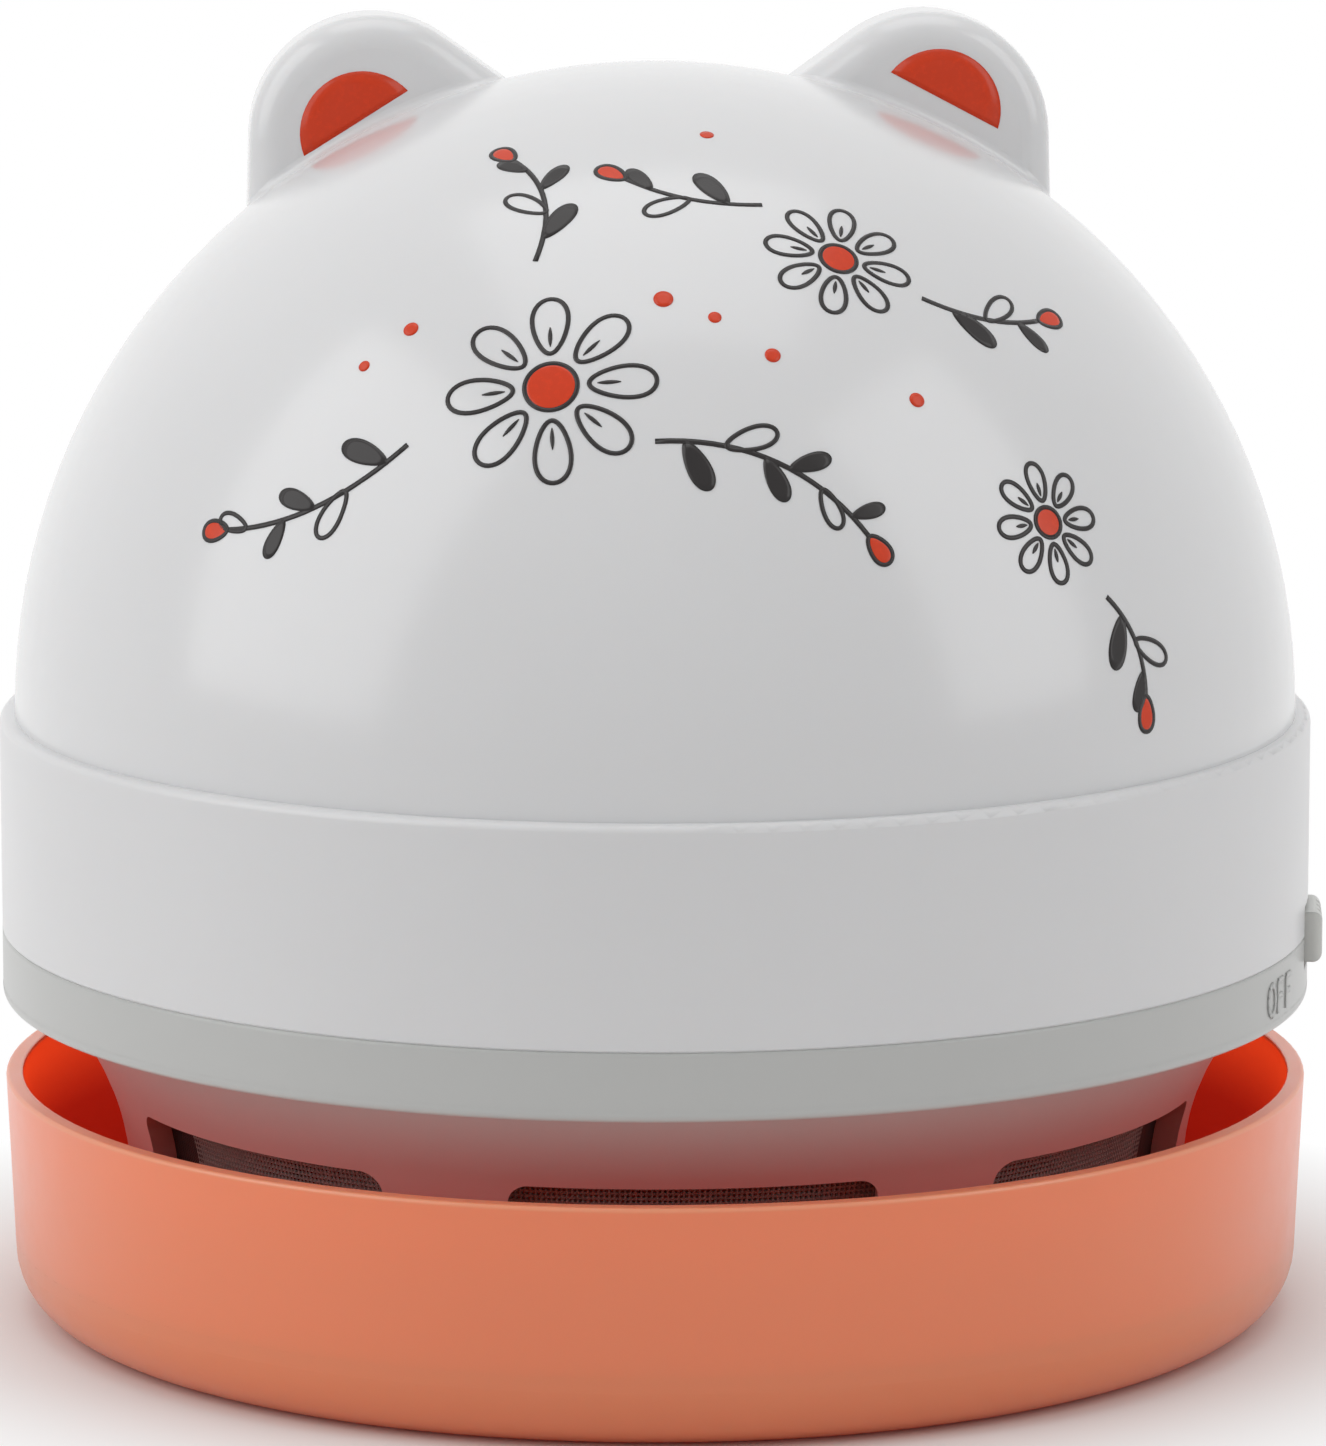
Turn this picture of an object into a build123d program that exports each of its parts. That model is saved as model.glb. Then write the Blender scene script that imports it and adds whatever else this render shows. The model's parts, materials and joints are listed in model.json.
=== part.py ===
from build123d import *
import math
import os

# Desktop mini vacuum cleaner: an orange dust cup that stands on the table, a filter cage in the cup,
# a gray lower housing with the fan and the switch, a white band and a domed battery cover with ears.
# Millimetres. +Z is up, the table is z = 0, the face looks to -Y and the switch is on +X.

# ---- driving dimensions ---------------------------------------------------------------------------
# fits and edges
RUN_FIT = 0.05            # radial clearance of a turning shaft in its bush
FIXED_FIT = 0.02          # clearance of a piece that is pushed home and stays
LOOSE_FIT = 0.3           # clearance round pieces that are lifted off or slid by hand
EDGE = 0.4                # rounding of a plain moulded edge
SEAM_BEVEL = 0.12         # bevel on either side of the seam between ring and band, and on the lip

# motor
MOTOR_R = 10.2
MOTOR_FLAT = 7.7          # half the width over the flats
MOTOR_L = 25.1
MOTOR_CAN_T = 0.8
END_CAP_T = 1.7
MAGNET_ARC = 100.0
MAGNET_OVERHANG = 1.6     # length of a magnet past either end of the poles
BUSH_R = 3.0
BUSH_L = 2.4
BOSS_OUT = 1.5            # stand-out of the bush from either end of the motor
SHAFT_R = 1.0
AIR_GAP = 0.4             # gap round the turning poles
ARMATURE_L = 9.0
ARMATURE_POLES = 3
POLE_ARC = 86.0
POLE_SHOE_T = 1.3
POLE_NECK_W = 2.4
COIL_W = 5.0
COMMUTATOR_R = 2.3
COMMUTATOR_L = 4.0
TERMINAL_OUT = 2.2        # stand-out of a tab from the end cap
TERMINAL_W = 2.0
TERMINAL_T = 0.5

# cells, tray and contacts
CELL_R = 7.1
CELL_L = 50.5
CELL_NUB_R = 2.7
CELL_NUB_L = 1.0
CELL_EDGE = 0.5
CELL_GAP = 0.6            # gap between a cell and the motor's hood
TRAY_T = 1.6
TRAY_WALL = 1.2
TRAY_RIM = 1.3            # edge of the tray outside the corners of the cell bays
HOOD_WALL = 1.1
HOOD_FIT = 0.1            # clearance of the hood over the motor's flats
HOOD_SIDE_ROOM = 3.3      # room for the wires beside the motor
HOOD_EDGE = 0.75
CRADLE_X = 13.0
CRADLE_T = 2.0
CRADLE_W = 12.0
CRADLE_H = 6.5
END_WALL_DROP = 2.1       # depth of an end wall's top below the cell's top
END_WALL_CORNER = 1.5
CONTACT_T = 0.4
CONTACT_W = 9.0
CONTACT_MARGIN = 1.5      # width of the end wall on either side of its contact
CONTACT_TAIL = 3.2        # length of the solder tail under the tray
CONTACT_TAIL_W = 3.0
SPRING_ROOM = 3.6         # length of a spring with its cell in place
SPRING_BIG_R = 3.9
SPRING_SMALL_R = 2.4
SPRING_WIRE_R = 0.35
SPRING_TURNS = 3

# dome cover and the band's collar inside it
COLLAR_H = 4.0
COLLAR_T = 1.8
COLLAR_EDGE = 0.6
DOME_WALL = 1.8
DOME_SKIRT = 0.3          # straight rise under the half sphere
EAR_R = 8.1
EAR_T = 7.4
EAR_FRONT_Y = 2.6         # plane of the ears' front faces
EAR_SINK = 1.0            # depth of an ear's centre below the dome's surface
EAR_LEAN = 26.3           # degrees off the vertical
EAR_FLARE = 28.0          # degrees by which an ear's flanks spread towards the dome
EAR_ROOT = 5.0            # depth of the flanks' ends below the ear's centre
EAR_EDGE = 2.0            # rounding of an ear's edges
EAR_BLEND = 0.6           # concave blend where an ear meets the dome

# band and lower housing
DOME_LEDGE = 1.0          # width of the ledge round the dome
BODY_WALL = 1.8
RING_H = 4.4
RING_EDGE = 0.5
DECK_T = 1.8
LIP_H = 2.4               # lip that centres the band on the lower housing
LIP_T = 1.3
BAND_H = 14.1
BAND_EDGE = 0.5
SHELF_LAP = 2.3           # width of the band's shelf under the tray's edge
SHELF_T = 1.6
SHELF_ROUND = 1.0
TRAY_DEPTH = 2.0          # depth of the tray's seat below the band's top
POST_INSET = 4.8          # distance of a post's axis from the tray's edge
POST_R = 3.0
POST_ANGLES = (60, 180, 300)
MOTOR_POCKET_H = 5.0
MOTOR_POCKET_WALL = 1.4

# dust cup
RIM_INSET = 0.1           # step between the band and the cup's rim
CUP_TAPER = 0.7           # narrowing of the cup from its rim to the table
CUP_H = 15.85             # height of the rim
CUP_WALL = 1.1
CUP_RIM_EDGE = 0.25
CUP_INNER_EDGE = 0.1
CUP_CORNER = 4.2          # outer radius of the corner under the wall
FLOOR_RAISE = 3.6         # height of the floor's underside over the table
FLOOR_T = 1.4
FOOT_W = 7.2              # width of the moulded foot ring
FOOT_ROUND = 0.8
INTAKE_R = 9.0            # bore of the intake tube
INTAKE_WALL = 1.3
INTAKE_LIP_Z = 0.9        # gap under the mouth
INTAKE_GAP = 1.3          # gap between the tube's top and the motor shaft
SEAT_H = 2.6              # height of the ring that locates the filter cage
SEAT_WALL = 1.4

# intake brush
BRUSH_GAP = 2.8           # gap between the intake tube and the strips
BRUSH_STRIPS = 4
BRUSH_ARC = 66.0          # degrees that one strip covers
BRUSH_BASE_W = 3.0
BRUSH_BASE_H = 1.1
TUFTS_PER_STRIP = 7
TUFT_R = 0.75
TUFT_GAP = 0.25           # gap between the bristles' ends and the table

# filter cage and mesh
RIM_GAP = 5.35            # height of the lower housing over the cup's rim
CAGE_STEP = 3.0           # step between the lower housing's side and the cage
FLARE_SPREAD = 5.0        # growth of the cage's radius over its flare
FLARE_RISE = 1.0          # start of the flare over the windows' sills
CAGE_WALL = 1.7
WINDOWS = 7
WINDOW_ARC = 38.6         # degrees that one window covers
WINDOW_SILL = 0.7         # height of the windows' sills over the seat ring
WINDOW_DROP = 0.35        # depth of the windows' heads below the cup's rim
WINDOW_CORNER = 1.2
BOSS_INSET = 4.0          # distance of a screw's axis from the inside of the cage
BOSS_R = 2.6
BOSS_H = 4.2
CAGE_SCREW_ANGLES = (30, 150, 270)
MESH_T = 0.3
MESH_LAP = 1.2            # mesh above and below the windows

# impeller
IMPELLER_R = 23.0
IMPELLER_HUB_R = 3.6
IMPELLER_PLATE_T = 1.2
IMPELLER_GAP = 0.9        # running gap under the deck
BLADE_H = 5.4
BLADE_T = 1.0
BLADE_IN_R = 9.0
BLADE_SWEEP = 38.0        # degrees that a blade trails behind its root
BLADE_BEND = 0.38         # share of that sweep reached halfway out
BLADES = 9
SHAFT_TIP = 1.0           # stand-out of the shaft below the blades

# slide switch
SWITCH_ANGLE = -7.0       # degrees of the switch round the housing from +X
SWITCH_D = 5.4
SWITCH_L = 13.2
SWITCH_H = 6.2
SWITCH_WALL = 0.7
SWITCH_EDGE = 0.35
SLIDER_L = 4.6
SLIDER_D = 2.2
STEM_W = 2.4
SWITCH_TRAVEL = 4.0
SWITCH_TAB_PITCH = 4.0
SWITCH_TAB_L = 2.6
SWITCH_TAB_W = 1.6
SWITCH_RIB_T = 1.4
SWITCH_RIB_H = 3.4
SWITCH_STOP_L = 6.6
SWITCH_STOP_H = 1.7
KNOB_L = 6.0
KNOB_H = 3.3
KNOB_PROUD = 0.85
KNOB_ROUND = 0.6
KNOB_PLATE_T = 1.9
KNOB_PLATE_H = 5.6
KNOB_PLATE_L = 15.0
KNOB_GROOVES = 3
KNOB_GROOVE_R = 0.35
KNOB_GROOVE_PITCH = 1.5
WINDOW_FIT = 0.4          # gap round the knob in its window

# screws and wires
SCREW_R = 1.0
SCREW_HEAD_R = 1.9
SCREW_HEAD_H = 1.3
SCREW_SLOT_W = 0.6
SCREW_SLOT_D = 0.6
CAGE_SCREW_L = 7.0
HOUSING_SCREW_L = 9.0
SCREW_COVER = 1.4         # material over a screw's end
WIRE_R = 0.6
WIRE_BEND = 2.0
WIRE_TIGHT_BEND = 1.2
WIRE_WIDE_BEND = 4.0
WIRE_RUN_H = 7.0          # height of the wires' level runs over the deck
WIRE_TAB_L = 3.0          # straight wire at a switch tab
WIRE_CLEAR = 5.0          # distance of the rear lead from the motor's flat

# ---- radii that follow, from the cells outwards ---------------------------------------------------
ARMATURE_R = MOTOR_FLAT - MOTOR_CAN_T - AIR_GAP
TERMINAL_X = MOTOR_R + TERMINAL_OUT
HOOD_X = MOTOR_R + HOOD_SIDE_ROOM
HOOD_Y = MOTOR_FLAT + HOOD_FIT
CELL_Y = HOOD_Y + HOOD_WALL + CELL_GAP + CELL_R
CONTACT_X = (CELL_L + SPRING_ROOM) / 2
END_WALL_X = CONTACT_X + CONTACT_T + FIXED_FIT
END_WALL_W = CONTACT_W + 2 * CONTACT_MARGIN
TRAY_R = math.hypot(END_WALL_X + TRAY_WALL, CELL_Y + END_WALL_W / 2) + TRAY_RIM
COLLAR_INNER_R = TRAY_R + LOOSE_FIT
COLLAR_R = COLLAR_INNER_R + COLLAR_T
DOME_INNER_R = COLLAR_R + LOOSE_FIT
DOME_R = DOME_INNER_R + DOME_WALL
EAR_REACH = DOME_R - EAR_SINK
BODY_R = DOME_R + DOME_LEDGE
BODY_INNER_R = BODY_R - BODY_WALL
SHELF_INNER_R = TRAY_R - SHELF_LAP
POST_RING_R = TRAY_R - POST_INSET
CUP_RIM_R = BODY_R - RIM_INSET
CUP_SLOPE = CUP_TAPER / CUP_H
FOOT_INNER_R = CUP_RIM_R - CUP_TAPER - FOOT_W
INTAKE_OUTER_R = INTAKE_R + INTAKE_WALL
BRUSH_R = INTAKE_OUTER_R + BRUSH_GAP + BRUSH_BASE_W / 2
CAGE_TOP_R = BODY_R - CAGE_STEP
CAGE_R = CAGE_TOP_R - FLARE_SPREAD
BOSS_RING_R = CAGE_R - CAGE_WALL - BOSS_INSET
KNOB_SWEEP = (KNOB_PLATE_L + SWITCH_TRAVEL) / 2
KNOB_PLATE_X = math.sqrt(BODY_INNER_R ** 2 - KNOB_SWEEP ** 2) - LOOSE_FIT - KNOB_PLATE_T
SWITCH_FACE_X = KNOB_PLATE_X - LOOSE_FIT
SWITCH_X = SWITCH_FACE_X - SWITCH_D
KNOB_REST_Y = -SWITCH_TRAVEL / 2

# ---- heights that follow, from the table upwards --------------------------------------------------
FLOOR_TOP_Z = FLOOR_RAISE + FLOOR_T
WINDOW_BOTTOM_Z = FLOOR_TOP_Z + SEAT_H + WINDOW_SILL
WINDOW_TOP_Z = CUP_H - WINDOW_DROP
FLARE_START_Z = WINDOW_BOTTOM_Z + FLARE_RISE
RING_BOTTOM_Z = CUP_H + RIM_GAP
BOSS_Z = RING_BOTTOM_Z - BOSS_H
DECK_TOP_Z = RING_BOTTOM_Z + DECK_T
SPLIT_Z = RING_BOTTOM_Z + RING_H
SEAM_Z = SPLIT_Z + BAND_H
DOME_Z = SEAM_Z + DOME_SKIRT
TRAY_Z = SEAM_Z - TRAY_DEPTH
TRAY_TOP_Z = TRAY_Z + TRAY_T
CELL_Z = TRAY_TOP_Z + CELL_R + LOOSE_FIT
END_WALL_H = LOOSE_FIT + 2 * CELL_R - END_WALL_DROP
MOTOR_TOP_Z = DECK_TOP_Z + MOTOR_L
END_CAP_Z = MOTOR_TOP_Z - END_CAP_T
ARMATURE_Z = DECK_TOP_Z + (MOTOR_L - ARMATURE_L) / 2 - END_CAP_T
IMPELLER_TOP_Z = RING_BOTTOM_Z - IMPELLER_GAP
BLADE_Z = IMPELLER_TOP_Z - IMPELLER_PLATE_T - BLADE_H
SHAFT_BOTTOM_Z = BLADE_Z - SHAFT_TIP
INTAKE_TOP_Z = SHAFT_BOTTOM_Z - INTAKE_GAP
SWITCH_MID_Z = DECK_TOP_Z + SWITCH_H / 2

UP = (Align.CENTER, Align.CENTER, Align.MIN)
FROM_X = (Align.MIN, Align.CENTER, Align.CENTER)
FROM_X_UP = (Align.MIN, Align.CENTER, Align.MIN)


# ---- helpers --------------------------------------------------------------------------------------
def turned(outline):
    """A solid of revolution about Z from a closed outline of (radius, height, corner radius)."""
    points = [(r, 0, z) for r, z, _ in outline]
    corners = [corner for _, _, corner in outline]
    return revolve(make_face(FilletPolyline(*points, radius=corners, close=True)), Axis.Z)


def tube(outer_r, inner_r, bottom, top):
    """A plain tube about Z between two heights."""
    return turned([(inner_r, bottom, 0), (outer_r, bottom, 0), (outer_r, top, 0), (inner_r, top, 0)])


def rod(radius, bottom, top):
    """A plain rod about Z between two heights."""
    return Pos(0, 0, bottom) * Cylinder(radius, top - bottom, align=UP)


def around(radius, angle, shape):
    """The shape, moved out along X and turned about Z."""
    return Rot(0, 0, angle) * Pos(radius, 0, 0) * shape


def sector(arc, radius, bottom, top):
    """A wedge of the given arc about the X axis, to cut or keep a part of a ring."""
    half = math.radians(arc / 2)
    reach = radius / math.cos(half)
    edge_x, edge_y = reach * math.cos(half), reach * math.sin(half)
    outline = make_face(Polyline((0, 0), (edge_x, -edge_y), (edge_x, edge_y), close=True))
    return Pos(0, 0, bottom) * extrude(outline, top - bottom)


def screw(length):
    """A small pan head screw: its head rests on z = 0 and its shank points down."""
    head = Cylinder(SCREW_HEAD_R, SCREW_HEAD_H, align=UP)
    head = fillet(head.edges().group_by(Axis.Z)[-1], SCREW_HEAD_H / 3)
    slot = Pos(0, 0, SCREW_HEAD_H) * Box(SCREW_HEAD_R * 2, SCREW_SLOT_W, SCREW_SLOT_D * 2)
    cross = Rot(0, 0, 90) * slot
    return head - slot - cross + rod(SCREW_R, -length, 0)


def stadium(half_x, half_y, bottom, top):
    """The motor's section: a circle of half_x with two flats at half_y."""
    flats = Pos(0, 0, bottom) * Box(half_x * 2, half_y * 2, top - bottom, align=UP)
    return rod(half_x, bottom, top) & flats


# ---- dust cup body --------------------------------------------------------------------------------
def cup_radius(height):
    """Outer radius of the tapered cup at a height over the table."""
    return CUP_RIM_R - CUP_TAPER + CUP_SLOPE * height


def dust_cup():
    """The cup's wall, from the base up to the rounded rim."""
    return turned([
        (cup_radius(FLOOR_TOP_Z), FLOOR_TOP_Z, 0),
        (CUP_RIM_R, CUP_H, CUP_RIM_EDGE),
        (CUP_RIM_R - CUP_WALL, CUP_H, CUP_INNER_EDGE),
        (cup_radius(FLOOR_TOP_Z) - CUP_WALL, FLOOR_TOP_Z, 0),
    ])


def cup_base():
    """Base of the cup: a raised floor and a foot ring, with the hole for the intake tube."""
    hole_r = INTAKE_OUTER_R + FIXED_FIT
    return turned([
        (FOOT_INNER_R, 0, EDGE),
        (cup_radius(0), 0, CUP_CORNER),
        (cup_radius(FLOOR_TOP_Z), FLOOR_TOP_Z, 0),
        (hole_r, FLOOR_TOP_Z, 0),
        (hole_r, FLOOR_RAISE, 0),
        (FOOT_INNER_R, FLOOR_RAISE, FOOT_ROUND),
    ])


def intake_tube():
    """Tube through the floor, from just over the table to just under the motor shaft."""
    return turned([
        (INTAKE_R, INTAKE_LIP_Z, EDGE),
        (INTAKE_OUTER_R, INTAKE_LIP_Z, EDGE),
        (INTAKE_OUTER_R, INTAKE_TOP_Z, EDGE),
        (INTAKE_R, INTAKE_TOP_Z, EDGE),
    ])


def cage_seat():
    """Ring on the floor that locates the filter cage."""
    inner_r = CAGE_R + LOOSE_FIT
    return turned([
        (inner_r, FLOOR_TOP_Z, 0),
        (inner_r + SEAT_WALL, FLOOR_TOP_Z, 0),
        (inner_r + SEAT_WALL, FLOOR_TOP_Z + SEAT_H, EDGE),
        (inner_r, FLOOR_TOP_Z + SEAT_H, EDGE),
    ])


def intake_brush():
    """Strips of bristle tufts round the mouth, stuck to the floor's underside."""
    base_z = FLOOR_RAISE - BRUSH_BASE_H
    base = tube(BRUSH_R + BRUSH_BASE_W / 2, BRUSH_R - BRUSH_BASE_W / 2, base_z, FLOOR_RAISE)
    base = base & sector(BRUSH_ARC, BRUSH_R * 2, base_z, FLOOR_RAISE)
    step = (BRUSH_ARC - math.degrees(BRUSH_BASE_W / BRUSH_R)) / (TUFTS_PER_STRIP - 1)
    tuft = rod(TUFT_R, TUFT_GAP, base_z + BRUSH_BASE_H / 2)
    for number in range(TUFTS_PER_STRIP):
        base += around(BRUSH_R, (number - (TUFTS_PER_STRIP - 1) / 2) * step, tuft)
    turn = 360 / BRUSH_STRIPS
    return [Rot(0, 0, turn * (number + 0.5)) * base for number in range(BRUSH_STRIPS)]


# ---- filter cage ----------------------------------------------------------------------------------
def flared(offset):
    """The filled form inside the cage's wall, at a distance in from its outside."""
    rise = RING_BOTTOM_Z - FLARE_START_Z
    arc_r = (FLARE_SPREAD ** 2 + rise ** 2) / (2 * FLARE_SPREAD)
    centre_r = CAGE_R + arc_r
    arc_r += offset
    top_r = centre_r - math.sqrt(arc_r ** 2 - rise ** 2)
    lean = math.atan2(rise, centre_r - top_r) / 2
    middle = (centre_r - arc_r * math.cos(lean), 0, FLARE_START_Z + arc_r * math.sin(lean))
    foot_r = centre_r - arc_r
    side = ThreePointArc((foot_r, 0, FLARE_START_Z), middle, (top_r, 0, RING_BOTTOM_Z))
    rest = Polyline(side @ 1, (0, 0, RING_BOTTOM_Z), (0, 0, FLOOR_TOP_Z), (foot_r, 0, FLOOR_TOP_Z), side @ 0)
    return revolve(make_face(Curve() + [side, rest]), Axis.Z)


def filter_cage():
    """White cage with windows, flared to the lower housing's underside, with three screw bosses."""
    boss = rod(BOSS_R, BOSS_Z, RING_BOTTOM_Z)
    boss += Pos(0, 0, BOSS_Z) * Box(CAGE_TOP_R - BOSS_RING_R, BOSS_R, BOSS_H, align=FROM_X_UP)
    bosses = [around(BOSS_RING_R, angle, boss) for angle in CAGE_SCREW_ANGLES]
    cage = flared(0) - flared(CAGE_WALL)
    cage += (bosses[0] + bosses[1:]) & flared(CAGE_WALL / 2)
    bore = rod(SCREW_R + FIXED_FIT, BOSS_Z, RING_BOTTOM_Z)
    for angle in CAGE_SCREW_ANGLES:
        cage -= around(BOSS_RING_R, angle, bore)
    width = 2 * CAGE_R * math.sin(math.radians(WINDOW_ARC / 2))
    height = WINDOW_TOP_Z - WINDOW_BOTTOM_Z
    opening = extrude(Plane.YZ * RectangleRounded(width, height, WINDOW_CORNER), CAGE_R)
    middle_z = (WINDOW_TOP_Z + WINDOW_BOTTOM_Z) / 2
    for number in range(WINDOWS):
        cage -= Rot(0, 0, 360 / WINDOWS * number - 90) * Pos(CAGE_R / 2, 0, middle_z) * opening
    return cage


def filter_mesh():
    """Fine mesh sleeve that follows the inside of the cage behind its windows."""
    start = CAGE_WALL + FIXED_FIT
    sleeve = flared(start) - flared(start + MESH_T)
    return sleeve & rod(CAGE_TOP_R, WINDOW_BOTTOM_Z - MESH_LAP, WINDOW_TOP_Z + MESH_LAP)


def cage_screws():
    """Screws from inside the cage up into the deck."""
    one = Pos(0, 0, BOSS_Z) * Rot(180, 0, 0) * screw(CAGE_SCREW_L)
    return [around(BOSS_RING_R, angle, one) for angle in CAGE_SCREW_ANGLES]


# ---- housings -------------------------------------------------------------------------------------
def at_switch(shape):
    """The shape, turned from +X to the switch's place round the housing."""
    return Rot(0, 0, SWITCH_ANGLE) * shape


def knob_window():
    """Opening for the switch knob, half in either housing."""
    length = KNOB_L + SWITCH_TRAVEL + 2 * WINDOW_FIT
    height = KNOB_H + 2 * WINDOW_FIT
    start_x = KNOB_PLATE_X + KNOB_PLATE_T / 2
    return at_switch(Pos(start_x, 0, SPLIT_Z) * Box(BODY_R - start_x + 1, length, height, align=FROM_X))


def plate_room():
    """Room that the knob's plate sweeps behind the wall, and the notch in the lip over it."""
    length = 2 * (KNOB_SWEEP + WINDOW_FIT)
    room = Box(KNOB_PLATE_T + 2 * LOOSE_FIT, length, SPLIT_Z - DECK_TOP_Z, align=FROM_X_UP)
    notch = Box(BODY_R - SWITCH_FACE_X, length, LIP_H + EDGE, align=FROM_X_UP)
    start = Pos(SWITCH_FACE_X, 0, 0)
    return at_switch(start * (Pos(0, 0, DECK_TOP_Z) * room + Pos(0, 0, SPLIT_Z) * notch))


def switch_ribs():
    """Two ribs and a stop on the deck that hold the switch."""
    rib = Box(SWITCH_D, SWITCH_RIB_T, SWITCH_RIB_H, align=FROM_X_UP)
    rib_y = (SWITCH_L + SWITCH_RIB_T) / 2 + FIXED_FIT
    stop = Box(SWITCH_RIB_T, SWITCH_STOP_L, SWITCH_STOP_H, align=UP)
    ribs = Pos(SWITCH_X - SWITCH_RIB_T / 2 - FIXED_FIT, 0, DECK_TOP_Z) * stop
    for side in (-1, 1):
        ribs += Pos(SWITCH_X, side * rib_y, DECK_TOP_Z) * rib
    return at_switch(ribs)


def lower_housing():
    """Gray ring and deck, with the motor's pocket, the posts, the bosses and the switch's ribs."""
    lip_r, lip_inner_r, lip_top = BODY_INNER_R - FIXED_FIT, BODY_INNER_R - LIP_T, SPLIT_Z + LIP_H
    body = turned([
        (BUSH_R + LOOSE_FIT, RING_BOTTOM_Z, 0),
        (BODY_R, RING_BOTTOM_Z, RING_EDGE),
        (BODY_R, SPLIT_Z - SEAM_BEVEL, 0),
        (BODY_R - SEAM_BEVEL, SPLIT_Z, 0),
        (lip_r, SPLIT_Z, 0),
        (lip_r, lip_top - SEAM_BEVEL, 0),
        (lip_r - SEAM_BEVEL, lip_top, 0),
        (lip_inner_r + SEAM_BEVEL, lip_top, 0),
        (lip_inner_r, lip_top - SEAM_BEVEL, 0),
        (lip_inner_r, DECK_TOP_Z, 0),
        (BUSH_R + LOOSE_FIT, DECK_TOP_Z, 0),
    ])
    top = DECK_TOP_Z + MOTOR_POCKET_H
    wall = MOTOR_POCKET_WALL + FIXED_FIT
    pocket = stadium(MOTOR_R + wall, MOTOR_FLAT + wall, DECK_TOP_Z, top)
    body += pocket - stadium(MOTOR_R + FIXED_FIT, MOTOR_FLAT + FIXED_FIT, DECK_TOP_Z, top)
    post = rod(POST_R, DECK_TOP_Z, TRAY_Z - SHELF_T)
    pilot = rod(SCREW_R + FIXED_FIT, TRAY_TOP_Z - HOUSING_SCREW_L, TRAY_Z)
    for angle in POST_ANGLES:
        body += around(POST_RING_R, angle, post)
        body -= around(POST_RING_R, angle, pilot)
    screw_end_z = BOSS_Z + CAGE_SCREW_L
    boss = rod(BOSS_R, DECK_TOP_Z, screw_end_z + SCREW_COVER)
    bore = rod(SCREW_R + FIXED_FIT, RING_BOTTOM_Z, screw_end_z)
    for angle in CAGE_SCREW_ANGLES:
        body += around(BOSS_RING_R, angle, boss)
        body -= around(BOSS_RING_R, angle, bore)
    return body + switch_ribs() - knob_window() - plate_room()


def middle_housing():
    """White band with the shelf for the battery tray and the collar inside the dome."""
    body = turned([
        (BODY_INNER_R, SPLIT_Z, 0),
        (BODY_R - SEAM_BEVEL, SPLIT_Z, 0),
        (BODY_R, SPLIT_Z + SEAM_BEVEL, 0),
        (BODY_R, SEAM_Z, BAND_EDGE),
        (COLLAR_R, SEAM_Z, 0),
        (COLLAR_R, SEAM_Z + COLLAR_H, COLLAR_EDGE),
        (COLLAR_INNER_R, SEAM_Z + COLLAR_H, COLLAR_EDGE),
        (COLLAR_INNER_R, TRAY_Z, 0),
        (SHELF_INNER_R, TRAY_Z, 0),
        (SHELF_INNER_R, TRAY_Z - SHELF_T, 0),
        (BODY_INNER_R, TRAY_Z - SHELF_T, SHELF_ROUND),
    ])
    pad = rod(POST_R, TRAY_Z - SHELF_T, TRAY_Z)
    bore = rod(SCREW_R + LOOSE_FIT, TRAY_Z - SHELF_T, TRAY_Z)
    for angle in POST_ANGLES:
        body += around(POST_RING_R, angle, pad)
        body -= around(POST_RING_R, angle, bore)
    return body - knob_window()


def housing_screws():
    """Screws through the tray and the band's shelf into the posts of the lower housing."""
    one = Pos(0, 0, TRAY_TOP_Z) * screw(HOUSING_SCREW_L)
    return [around(POST_RING_R, angle, one) for angle in POST_ANGLES]


# ---- dome cover -----------------------------------------------------------------------------------
def ear_place(side):
    """Place of an ear's centre, in the plane of the ears' front faces."""
    return Pos(0, EAR_FRONT_Y, DOME_Z) * Rot(0, EAR_LEAN * side, 0) * Pos(0, 0, EAR_REACH)


def ear(radius, inset, edge):
    """A thick ear that faces -Y, round above with spreading flanks, set back by inset from both faces."""
    flare = math.radians(EAR_FLARE)
    side_x, side_z = radius * math.cos(flare), radius * math.sin(flare)
    root_x = side_x + (side_z + EAR_ROOT) * math.tan(flare)
    corners = [(-side_x, side_z), (-root_x, -EAR_ROOT), (root_x, -EAR_ROOT), (side_x, side_z)]
    outline = Circle(radius) + make_face(Polyline(*corners, close=True))
    block = extrude(Plane.XZ * outline, -(EAR_T - 2 * inset))
    rims = block.edges().filter_by(Axis.Y, reverse=True).sort_by(Axis.Z)[2:]
    return Pos(0, inset, 0) * fillet(rims, edge)


def dome_cover():
    """Hollow dome with two hollow ears, open below."""
    dome = Pos(0, 0, DOME_Z) * Sphere(DOME_R)
    for side in (-1, 1):
        dome += ear_place(side) * ear(EAR_R, 0, EAR_EDGE)
    seams = [edge for edge in dome.edges() if on_dome(edge)]
    dome = fillet(seams, EAR_BLEND)
    cavity = Pos(0, 0, DOME_Z) * Sphere(DOME_INNER_R)
    for side in (-1, 1):
        cavity += ear_place(side) * ear(EAR_R - DOME_WALL, DOME_WALL, EAR_EDGE / 2)
    above = Pos(0, 0, DOME_Z) * Box(DOME_R * 3, DOME_R * 3, DOME_R * 2, align=UP)
    skirt = tube(DOME_R, DOME_INNER_R, SEAM_Z, DOME_Z)
    return (dome & above) - cavity + skirt


def on_dome(edge):
    """True for an edge where an ear meets the dome, and not for the dome's own seam."""
    centre = Vector(0, 0, DOME_Z)
    spread = [abs((edge @ share - centre).length - DOME_R) for share in (0, 0.25, 0.5, 0.75, 1)]
    return max(spread) < 0.01 and (edge @ 0.5).Y > -EAR_T and edge.length < EAR_R * 4


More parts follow.
